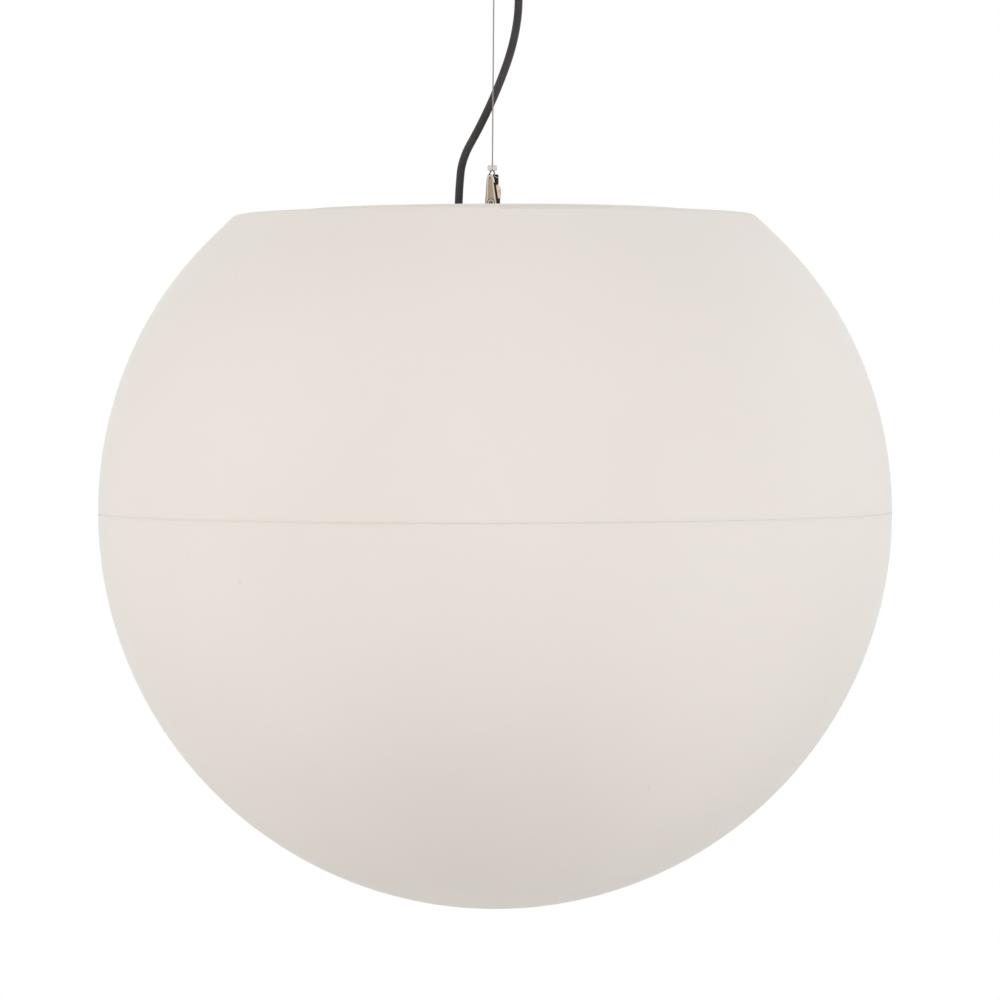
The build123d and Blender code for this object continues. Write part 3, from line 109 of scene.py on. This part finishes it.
class Shader:
    """A material's node tree with its Principled BSDF, and short calls for its other nodes."""

    def __init__(self, name):
        self.material = bpy.data.materials.new(name)
        self.material.use_nodes = True
        self.tree = self.material.node_tree
        self.bsdf = self.tree.nodes["Principled BSDF"]
        self.place = self.tree.nodes.new("ShaderNodeTexCoord").outputs["Object"]
        self.height = None

    def node(self, kind, **settings):
        made = self.tree.nodes.new(kind)
        for key, value in settings.items():
            setattr(made, key, value)
        return made

    def link(self, source, target):
        self.tree.links.new(source, target)

    def fixed(self, **values):
        """Values that are the same all over, straight on the shader's sockets."""
        for key, value in values.items():
            self.bsdf.inputs[key.replace("_", " ")].default_value = value

    def stretched(self, scale):
        """The object's own coordinates, scaled along each axis."""
        mapping = self.node("ShaderNodeMapping")
        mapping.inputs["Scale"].default_value = scale
        self.link(self.place, mapping.inputs["Vector"])
        return mapping.outputs["Vector"]

    def noise(self, scale, detail=3.0, roughness=0.5, vector=None):
        made = self.node("ShaderNodeTexNoise")
        made.inputs["Scale"].default_value = scale
        made.inputs["Detail"].default_value = detail
        made.inputs["Roughness"].default_value = roughness
        self.link(self.place if vector is None else vector, made.inputs["Vector"])
        return made.outputs["Fac"]

    def spread(self, value, low, high, to_low=0, to_high=1):
        """Stretches a value from one range to another and clamps it there."""
        made = self.node("ShaderNodeMapRange")
        sockets = ("From Min", "From Max", "To Min", "To Max")
        for key, number in zip(sockets, (low, high, to_low, to_high)):
            made.inputs[key].default_value = number
        self.link(value, made.inputs["Value"])
        return made.outputs["Result"]

    def maths(self, operation, *values):
        """One maths node, fed with sockets or numbers."""
        made = self.node("ShaderNodeMath", operation=operation)
        for socket, value in zip(made.inputs, values):
            if isinstance(value, (int, float)):
                socket.default_value = value
            else:
                self.link(value, socket)
        return made.outputs[0]

    def ramp(self, value, stops):
        """A colour that follows a value through a row of (place, colour) stops."""
        made = self.node("ShaderNodeValToRGB")
        row = made.color_ramp.elements
        while len(row) < len(stops):
            row.new(1.0)
        for element, (place, colour) in zip(row, stops):
            element.position = place
            element.color = (*colour, 1)
        self.link(value, made.inputs["Fac"])
        return made.outputs["Color"]

    def mix(self, factor, first, second):
        """A colour between two, each a colour or a socket."""
        made = self.node("ShaderNodeMix", data_type="RGBA")
        self.link(factor, made.inputs["Factor"])
        for socket, value in ((made.inputs[6], first), (made.inputs[7], second)):
            if isinstance(value, tuple):
                socket.default_value = (*value, 1)
            else:
                self.link(value, socket)
        return made.outputs[2]

    def edges(self, low, high):
        """1 on sharp outer edges, 0 on flats."""
        return self.spread(self.node("ShaderNodeNewGeometry").outputs["Pointiness"], low, high)

    def colour(self, socket):
        self.link(socket, self.bsdf.inputs["Base Color"])

    def rough(self, value, low, high):
        self.link(self.spread(value, *GLOSS_RANGE, low, high), self.bsdf.inputs["Roughness"])

    def bump(self, value, depth, strength=1.0):
        """Adds a relief of this depth to the relief made before."""
        made = self.node("ShaderNodeBump")
        made.inputs["Distance"].default_value = depth
        made.inputs["Strength"].default_value = strength
        self.link(value, made.inputs["Height"])
        if self.height is not None:
            self.link(self.height, made.inputs["Normal"])
        self.height = made.outputs["Normal"]
        self.link(self.height, self.bsdf.inputs["Normal"])


def scaled(colour, times, plus=0.0):
    """A colour made darker or lighter."""
    return tuple(min(c * times + plus, 1) for c in colour)


# Pointiness ranges over which painted highlights spread onto edges, for plastic and for metal.
PLASTIC_EDGE = (0.53, 0.62)  # pointiness from a flat to an edge
METAL_EDGE = (0.52, 0.6)


def moulded(name, colour, rough, grain, grain_depth, spot=9.0, darker=0.96, lighter=1.03):
    """Moulded plastic: slow colour drift, uneven gloss, a fine moulded grain and painted highlights on the edges.
    """
    s = Shader(name)
    cloud = s.spread(s.noise(spot, 4), *DRIFT_RANGE)
    drift = s.mix(cloud, scaled(colour, darker), scaled(colour, lighter))
    # Painted highlights on the edges.
    s.colour(s.mix(s.edges(*PLASTIC_EDGE), drift, scaled(colour, 1.08, 0.01)))
    s.rough(s.noise(grain / 6, 5), rough - 0.05, rough + 0.06)
    s.bump(s.noise(grain, 4, 0.6), grain_depth)
    s.fixed(IOR=1.5)
    return s


def metal(name, colour, rough, lay, scratch, darker=0.8, lighter=1.1, stain=None, spot=60.0):
    """Bare or plated metal: fine lines along the lay, uneven gloss, patches of darker and lighter tone, painted
    highlights on the edges.
    """
    s = Shader(name)
    lines = s.noise(1.0, 5, 0.6, s.stretched(lay))
    cloud = s.noise(spot, 4, 0.55)
    shade = s.spread(cloud, *DRIFT_RANGE)
    base = s.mix(shade, scaled(colour, darker), scaled(colour, lighter))
    if stain is not None:
        patches = s.spread(s.noise(spot * 2.3, 5, 0.65), 0.55, 0.7, 0, 0.6)
        base = s.mix(patches, base, stain)
    # Painted highlights on the edges.
    s.colour(s.mix(s.edges(*METAL_EDGE), base, scaled(colour, 1.25)))
    s.rough(cloud, rough - 0.08, rough + 0.12)
    s.bump(lines, scratch)
    s.fixed(Metallic=1.0)
    return s


# ---------------------------------------------------------------------------------------------
# Materials
# ---------------------------------------------------------------------------------------------


def shell_plastic():
    """Satin white polyethylene, with a very fine grain and a faint slow waviness of the wall."""
    s = Shader("shell_plastic")
    warm, cool = (0.80, 0.752, 0.708), (0.83, 0.785, 0.742)
    drift = s.mix(s.spread(s.noise(3.0, 3), 0.35, 0.65), warm, cool)
    specks = s.spread(s.noise(240.0, 2, 0.4), 0.80, 0.84, 0, 0.5)
    s.colour(s.mix(specks, drift, (0.45, 0.42, 0.38)))
    s.rough(s.noise(22.0, 5), 0.40, 0.50)
    s.bump(s.noise(5.0, 2, 0.4), 0.0012, 0.35)
    s.bump(s.noise(900.0, 4, 0.6), 0.00010, 0.5)
    s.fixed(IOR=1.49, Subsurface_Weight=0.12, Subsurface_Scale=0.01)
    s.fixed(Subsurface_Radius=(1.0, 0.85, 0.7))
    return s


def cable_rubber():
    """Black rubber sheath with a dusty bloom and faint lines drawn along it."""
    s = Shader("cable_rubber")
    bloom = s.spread(s.noise(45.0, 6, 0.6), 0.42, 0.75)
    s.colour(s.mix(bloom, (0.019, 0.016, 0.015), (0.043, 0.038, 0.036)))
    s.rough(s.noise(70.0, 5), 0.42, 0.62)
    s.bump(s.noise(1.0, 4, 0.6, s.stretched((900, 900, 40))), 0.00012, 0.6)
    s.bump(s.noise(700.0, 4, 0.6), 0.00006, 0.5)
    s.fixed(IOR=1.52)
    return s


def clear_bead():
    """Clear polycarbonate with a slight milky haze."""
    s = Shader("bead_plastic")
    s.colour(s.mix(s.noise(900.0, 3), (0.70, 0.63, 0.60), (0.95, 0.92, 0.90)))
    s.rough(s.noise(400.0, 4), 0.08, 0.22)
    s.bump(s.noise(600.0, 3), 0.00008, 0.6)
    s.fixed(IOR=1.58, Transmission_Weight=0.6)
    return s


def frosted_glass():
    """The bulb's frosted glass."""
    s = Shader("bulb_glass")
    s.colour(s.mix(s.noise(60.0, 3), (0.90, 0.90, 0.88), (0.95, 0.95, 0.93)))
    s.rough(s.noise(90.0, 4), 0.35, 0.5)
    s.bump(s.noise(1200.0, 3), 0.00005, 0.6)
    s.fixed(IOR=1.5, Subsurface_Weight=0.2, Subsurface_Scale=0.004)
    return s


def wire_rope():
    """Stainless wire whose strands show as fine slanted ridges."""
    s = metal("wire_steel", (0.27, 0.245, 0.235), 0.45, (400, 400, 60), 0.00001, 0.85, 1.12)
    wave = s.node("ShaderNodeTexWave", wave_type="BANDS", bands_direction="DIAGONAL")
    wave.inputs["Scale"].default_value = 420.0
    wave.inputs["Distortion"].default_value = 0.6
    s.link(s.place, wave.inputs["Vector"])
    s.bump(wave.outputs["Fac"], 0.00004, 0.4)
    return s


# A painted highlight, the clip's own tan, and painted shade.
CLIP_PAINTED_HIGHLIGHT = (0.80, 0.68, 0.56)
CLIP_TAN = (0.42, 0.33, 0.25)
CLIP_PAINTED_SHADE = (0.05, 0.04, 0.035)
CLIP_PIVOT = Vector(next(j for j in frame["joints"] if j["name"] == "clip_keeper_open")["pos_m"])
CLIP_EDGE_R = 0.0003
CLIP_GRAIN = (500, 500, 90)

BODY_HEAD_Z = CLIP_PIVOT.z + 0.0192
BODY_HEAD_LEFT = -0.0058  # x of the body's left side at its head
BODY_HEAD_WIDTH = 0.0046
BODY_LEFT_SLOPE = -0.0677  # how far that side goes to the right per metre down
BODY_WIDTH_SLOPE = 0.224
# Painted shade along both sides of the body, a painted highlight line inside each, and the tan face between.
BODY_ACROSS = (  # from the left side, 0, to the right side, 1
    (0.05, CLIP_PAINTED_SHADE),
    (0.10, CLIP_PAINTED_HIGHLIGHT),
    (0.17, CLIP_PAINTED_HIGHLIGHT),
    (0.24, CLIP_TAN),
    (0.76, CLIP_TAN),
    (0.84, CLIP_PAINTED_HIGHLIGHT),
    (0.91, CLIP_PAINTED_HIGHLIGHT),
    (0.97, CLIP_PAINTED_SHADE),
)
PIVOT_RING_SCALE = 250.0  # 1 on the ring's ramp is 4 mm from the pivot
# Painted shade, a painted highlight and painted shade again, going out from the pivot.
PIVOT_PAINTED_RING = ((0.38, CLIP_PAINTED_SHADE), (0.46, CLIP_PAINTED_HIGHLIGHT), (0.56, CLIP_PAINTED_HIGHLIGHT), (0.64, CLIP_PAINTED_SHADE))
PIVOT_RING_EDGE = (0.0029, 0.0032)

KEEPER_WARM = (0.86, 0.66, 0.53)
KEEPER_DULL = (0.62, 0.45, 0.36)
# Painted shade and a painted glint on the keeper.
KEEPER_PAINTED_SHADE = (0.03, 0.027, 0.025)
KEEPER_GLINT = (0.60, 0.60, 0.60)
KEEPER_GRIP_Z = CLIP_PIVOT.z + 0.0135


def clip_sheet(name):
    """Plated sheet with rounded edges and uneven gloss, and its coordinates."""
    s = Shader(name)
    cloud = s.noise(260.0, 4, 0.55)
    s.rough(cloud, 0.24, 0.42)
    round_edge = s.node("ShaderNodeBevel", samples=8)
    round_edge.inputs["Radius"].default_value = CLIP_EDGE_R
    s.height = round_edge.outputs["Normal"]
    s.bump(s.noise(1.0, 5, 0.6, s.stretched(CLIP_GRAIN)), 0.00002)
    s.fixed(Metallic=1.0)
    split = s.node("ShaderNodeSeparateXYZ")
    s.link(s.place, split.inputs[0])
    return s, cloud, split.outputs["X"], split.outputs["Z"]


def clip_body_steel():
    """The body: painted shade along its rim, a painted highlight line inside it, a dull tan face, painted shade
    and highlight in rings round the pivot.
    """
    s, cloud, x, z = clip_sheet("clip_steel")
    down = s.maths("MAXIMUM", s.maths("SUBTRACT", BODY_HEAD_Z, z), 0.0)
    left = s.maths("MULTIPLY_ADD", down, BODY_LEFT_SLOPE, BODY_HEAD_LEFT)
    width = s.maths("MULTIPLY_ADD", down, BODY_WIDTH_SLOPE, BODY_HEAD_WIDTH)
    across = s.maths("DIVIDE", s.maths("SUBTRACT", x, left), width)
    # Painted shade along the body's sides and painted highlight lines inside them.
    face = s.ramp(across, BODY_ACROSS)
    # Painted highlight below the head's top, and painted shade along its top edge.
    head_highlight = s.spread(z, BODY_HEAD_Z - 0.0014, BODY_HEAD_Z + 0.0004)
    head_shade = s.spread(z, BODY_HEAD_Z + 0.0012, BODY_HEAD_Z + 0.0020)
    face = s.mix(head_shade, s.mix(head_highlight, face, CLIP_PAINTED_HIGHLIGHT), CLIP_PAINTED_SHADE)
    # Painted shade and highlight in rings round the pivot, laid over the face.
    aside = s.maths("SUBTRACT", x, CLIP_PIVOT.x)
    above = s.maths("SUBTRACT", z, CLIP_PIVOT.z)
    above_squared = s.maths("MULTIPLY", above, above)
    away = s.maths("SQRT", s.maths("MULTIPLY_ADD", aside, aside, above_squared))
    pivot_painted_ring = s.ramp(s.maths("MULTIPLY", away, PIVOT_RING_SCALE), PIVOT_PAINTED_RING)
    face = s.mix(s.spread(away, *PIVOT_RING_EDGE), pivot_painted_ring, face)
    dull = s.mix(cloud, CLIP_TAN, face)
    s.colour(s.mix(s.spread(cloud, 0.35, 0.7, 0, 0.45), face, dull))
    return s


def keeper_steel():
    """The keeper: painted shade, nearly black, above, where it faces the body and next to the pivot; pinkish
    elsewhere below, with a painted glint.
    """
    s, cloud, x, z = clip_sheet("keeper_steel")
    warm = s.mix(s.spread(cloud, 0.35, 0.7), KEEPER_WARM, KEEPER_DULL)
    # Painted shade above the grip, where the keeper faces the body and next to the pivot.
    slanted_z = s.maths("MULTIPLY_ADD", x, -0.6, z)
    shade_above_grip = s.spread(slanted_z, KEEPER_GRIP_Z - 0.0018, KEEPER_GRIP_Z - 0.0008)
    above = s.maths("SUBTRACT", z, CLIP_PIVOT.z)
    beside_body = s.maths("MULTIPLY_ADD", above, 0.158, x)
    near_body = s.spread(beside_body, 0.0030, 0.0034, 1, 0)
    tail = s.spread(above, 0.0030, 0.0034, 1, 0)
    shade = s.maths("MAXIMUM", s.maths("MAXIMUM", shade_above_grip, near_body), tail)
    base = s.mix(shade, warm, KEEPER_PAINTED_SHADE)
    # A painted glint along a slanted line.
    slant = s.maths("MULTIPLY_ADD", x, 0.5, above)
    rise = s.spread(slant, 0.0197, 0.0199)
    fall = s.spread(slant, 0.0201, 0.0203, 1, 0)
    s.colour(s.mix(s.maths("MULTIPLY", rise, fall), base, KEEPER_GLINT))
    return s


# The lay of a metal part's fine lines is given as noise scales along X, Y and Z.
MATERIALS = {
    "shell_plastic": shell_plastic(),
    "dish_plastic": moulded("dish_plastic", (0.80, 0.76, 0.72), 0.46, 700.0, 0.0001),
    "seal_rubber": moulded("seal_rubber", (0.76, 0.72, 0.68), 0.60, 900.0, 0.0001),
    "cup_paint": moulded("cup_paint", (0.80, 0.78, 0.75), 0.42, 1100.0, 0.00016, spot=14.0),
    "zinc_steel": metal(
        "zinc_steel", (0.55, 0.55, 0.55), 0.30, (60, 500, 500), 0.00004,
        darker=0.78, lighter=1.12, stain=(0.42, 0.40, 0.36),
    ),
    "wire_steel": wire_rope(),
    "clip_steel": clip_body_steel(),
    "pin_steel": metal(
        "pin_steel", (0.16, 0.15, 0.14), 0.34, (500, 60, 500), 0.00003,
        darker=0.7, lighter=1.3, spot=200.0,
    ),
    "bead_plastic": clear_bead(),
    "cable_rubber": cable_rubber(),
    "gland_plastic": moulded(
        "gland_plastic", (0.030, 0.030, 0.030), 0.42, 900.0, 0.00008,
        spot=40.0, darker=0.8, lighter=1.4,
    ),
    "terminal_plastic": moulded(
        "terminal_plastic", (0.74, 0.71, 0.66), 0.44, 800.0, 0.00008, spot=40.0
    ),
    "brass": metal(
        "brass", (0.66, 0.47, 0.20), 0.28, (500, 500, 70), 0.00003,
        darker=0.75, lighter=1.12, stain=(0.34, 0.22, 0.09), spot=120.0,
    ),
    "live_core": moulded(
        "live_core", (0.17, 0.065, 0.022), 0.40, 900.0, 0.00005,
        spot=60.0, darker=0.85, lighter=1.15,
    ),
    "neutral_core": moulded(
        "neutral_core", (0.025, 0.11, 0.42), 0.40, 900.0, 0.00005,
        spot=60.0, darker=0.85, lighter=1.15,
    ),
    "holder_plastic": moulded(
        "holder_plastic", (0.040, 0.038, 0.036), 0.38, 800.0, 0.00007,
        spot=40.0, darker=0.8, lighter=1.3,
    ),
    "cap_aluminium": metal(
        "cap_aluminium", (0.72, 0.72, 0.73), 0.34, (500, 500, 60), 0.00003,
        darker=0.82, lighter=1.08, spot=140.0,
    ),
    "bulb_plastic": moulded("bulb_plastic", (0.84, 0.83, 0.81), 0.35, 700.0, 0.00006, spot=30.0),
    "bulb_glass": frosted_glass(),
}

slot_of = {part["node"]: part["material_slot"] for part in frame["record"]["subparts"]}
keeper_look = keeper_steel()
for name, node in nodes.items():
    look = keeper_look if name == "clip_keeper" else MATERIALS[slot_of[name]]
    node.data.materials.clear()
    node.data.materials.append(look.material)

# ---------------------------------------------------------------------------------------------
# Mains cable
# ---------------------------------------------------------------------------------------------

CABLE_D = 0.0061
CABLE_ROUTE = [  # from the gland up to the ceiling cup
    (-0.0275, 0.0120, -0.241),
    (-0.0275, 0.0120, -0.224),
    (-0.0268, 0.0117, -0.204),
    (-0.0246, 0.0108, -0.182),
    (-0.0109, 0.0094, -0.158),
    (0.0022, 0.0080, -0.130),
    (0.0127, 0.0070, -0.102),
    (0.0180, 0.0063, -0.077),
    (0.0188, 0.0060, -0.055),
    (0.0188, 0.0060, -0.023),
]
SPLINE_ORDER = 3
SPLINE_STEPS = 12  # between two points
TUBE_SIDES = 32


def smooth_line(points):
    """The smooth line of a route, read from its NURBS spline."""
    data = bpy.data.curves.new("route", "CURVE")
    data.dimensions = "3D"
    spline = data.splines.new("NURBS")
    spline.points.add(len(points) - 1)
    for control, at in zip(spline.points, points):
        control.co = (*at, 1)
    spline.order_u = SPLINE_ORDER
    spline.use_endpoint_u = True
    spline.resolution_u = SPLINE_STEPS
    holder = placed("route", data)
    bpy.context.view_layer.update()
    mesh = bpy.data.meshes.new_from_object(holder)
    line = [v.co.copy() for v in mesh.vertices]
    bpy.data.objects.remove(holder)
    bpy.data.meshes.remove(mesh)
    return line


def tube(name, line, radius):
    """A round tube along a line, closed at both ends."""
    vertices, faces = [], []
    side = Vector((1, 0, 0))
    last = len(line) - 1
    for i, at in enumerate(line):
        ahead = (line[min(i + 1, last)] - line[max(i - 1, 0)]).normalized()
        side = (side - ahead * side.dot(ahead)).normalized()
        other = ahead.cross(side)
        for k in range(TUBE_SIDES):
            turn = 2 * math.pi * k / TUBE_SIDES
            vertices.append(at + (side * math.cos(turn) + other * math.sin(turn)) * radius)
    for i in range(last):
        for k in range(TUBE_SIDES):
            here, beside = i * TUBE_SIDES + k, i * TUBE_SIDES + (k + 1) % TUBE_SIDES
            faces.append((here, beside, beside + TUBE_SIDES, here + TUBE_SIDES))
    faces.append(tuple(reversed(range(TUBE_SIDES))))
    faces.append(tuple(range(last * TUBE_SIDES, len(line) * TUBE_SIDES)))
    made = built(name, vertices, faces)
    for polygon in made.data.polygons[:-2]:
        polygon.use_smooth = True
    return made


cable_line = smooth_line(CABLE_ROUTE)
cable = tube("mains_cable", cable_line, CABLE_D / 2)
cable.data.materials.append(MATERIALS["cable_rubber"].material)
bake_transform(cable)
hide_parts("power_cable")

# ---------------------------------------------------------------------------------------------
# Seam gasket: soft, so it fills the gap between the shells' edges
# ---------------------------------------------------------------------------------------------

GASKET_OUT_R = 0.2995
GASKET_IN_R = 0.2930
GASKET_LOW_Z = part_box("seam_gasket")[0].z
GASKET_TOP_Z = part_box("upper_shell")[0].z - 0.00003
GASKET_STEPS = 720


def closed_ring(name, section, steps):
    """A ring round the globe's axis with the given section of (radius, z) corners."""
    vertices, faces = [], []
    for i in range(steps):
        turn = 2 * math.pi * i / steps
        vertices += [(r * math.cos(turn), r * math.sin(turn), z) for r, z in section]
    count = len(section)
    for i in range(steps):
        here, after = i * count, (i + 1) % steps * count
        for k in range(count):
            beside = (k + 1) % count
            faces.append((here + k, after + k, after + beside, here + beside))
    return built(name, vertices, faces)


gasket_section = [
    (GASKET_IN_R, GASKET_LOW_Z),
    (GASKET_OUT_R, GASKET_LOW_Z),
    (GASKET_OUT_R, GASKET_TOP_Z),
    (GASKET_IN_R, GASKET_TOP_Z),
]
gasket = closed_ring("soft_gasket", gasket_section, GASKET_STEPS)
gasket.data.materials.append(MATERIALS["seal_rubber"].material)
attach(gasket, "lower_globe")
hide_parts("seam_gasket")

# ---------------------------------------------------------------------------------------------
# Torsion spring of the clip, copied from its imported part
# ---------------------------------------------------------------------------------------------

spring = placed("keeper_spring", nodes["clip_spring"].data.copy())
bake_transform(spring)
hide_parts("clip_spring")

# ---------------------------------------------------------------------------------------------
# Room: pale floor, soft lamps, white background
# ---------------------------------------------------------------------------------------------

ROOM_COLOUR = (1.0, 0.985, 0.965, 1)
ROOM_LIGHT = 0.62
WHITE = (1, 1, 1, 1)

FLOOR_Z = GLOBE_Z - 0.85
FLOOR_R = 2.6
FLOOR_SIDES = 96
FLOOR_DARK = (0.77, 0.76, 0.75)
FLOOR_PALE = (0.80, 0.79, 0.78)
FLOOR_GLOW = 0.35


def seen_directly(tree):
    """1 for rays from the camera, off glossy surfaces and through clear ones."""
    path = tree.nodes.new("ShaderNodeLightPath")
    total = path.outputs["Is Camera Ray"]
    for name in ("Is Glossy Ray", "Is Transmission Ray"):
        most = tree.nodes.new("ShaderNodeMath")
        most.operation = "MAXIMUM"
        tree.links.new(total, most.inputs[0])
        tree.links.new(path.outputs[name], most.inputs[1])
        total = most.outputs[0]
    return total


def background(tree, colour, strength):
    """The output of a background node of this colour and strength."""
    made = tree.nodes.new("ShaderNodeBackground")
    made.inputs["Color"].default_value = colour
    made.inputs["Strength"].default_value = strength
    return made.outputs[0]


world = bpy.data.worlds.new("studio")
world.use_nodes = True
tree = world.node_tree
tree.nodes.clear()
blend = tree.nodes.new("ShaderNodeMixShader")
output = tree.nodes.new("ShaderNodeOutputWorld")
tree.links.new(seen_directly(tree), blend.inputs[0])
tree.links.new(background(tree, ROOM_COLOUR, ROOM_LIGHT), blend.inputs[1])
tree.links.new(background(tree, WHITE, 1.0), blend.inputs[2])
tree.links.new(blend.outputs[0], output.inputs[0])
bpy.context.scene.world = world

half_turn_steps = FLOOR_SIDES // 2
turns = [k * math.pi / half_turn_steps for k in range(FLOOR_SIDES)]
rim = [(FLOOR_R * math.cos(turn), FLOOR_R * math.sin(turn), FLOOR_Z) for turn in turns]
floor = built("floor", rim, [tuple(range(FLOOR_SIDES))])
floor_look = Shader("floor")
floor_look.colour(floor_look.mix(floor_look.noise(2.0, 3), FLOOR_DARK, FLOOR_PALE))
floor_look.rough(floor_look.noise(8.0, 3), 0.7, 0.85)
glow = floor_look.node("ShaderNodeEmission")
glow.inputs["Color"].default_value = WHITE
lift = floor_look.maths("MULTIPLY", seen_directly(floor_look.tree), FLOOR_GLOW)
floor_look.link(lift, glow.inputs["Strength"])
both = floor_look.node("ShaderNodeAddShader")
floor_look.link(floor_look.bsdf.outputs[0], both.inputs[0])
floor_look.link(glow.outputs[0], both.inputs[1])
floor_look.link(both.outputs[0], floor_look.tree.nodes["Material Output"].inputs["Surface"])
floor.data.materials.append(floor_look.material)


def soft_lamp(name, at, size, power, colour=(1.0, 0.98, 0.95)):
    """A soft lamp that looks at the globe's centre and leaves no glint on glossy surfaces."""
    data = bpy.data.lights.new(name, "AREA")
    data.shape = "RECTANGLE"
    data.size, data.size_y = size
    data.energy = power
    data.color = colour
    lamp = placed(name, data)
    lamp.location = at
    towards_globe = Vector((0, 0, GLOBE_Z)) - Vector(at)
    lamp.rotation_euler = towards_globe.to_track_quat("-Z", "Y").to_euler()
    lamp.visible_glossy = False


soft_lamp("lamp_left", at=(-2.85, -1.6, 0.55), size=(1.6, 1.6), power=32)
soft_lamp(
    "lamp_right", at=(2.9, -1.6, 0.6), size=(1.4, 1.8), power=34, colour=(0.985, 0.995, 1.0)
)
soft_lamp("lamp_front", at=(0.0, -4.3, -0.7), size=(1.6, 1.2), power=21)
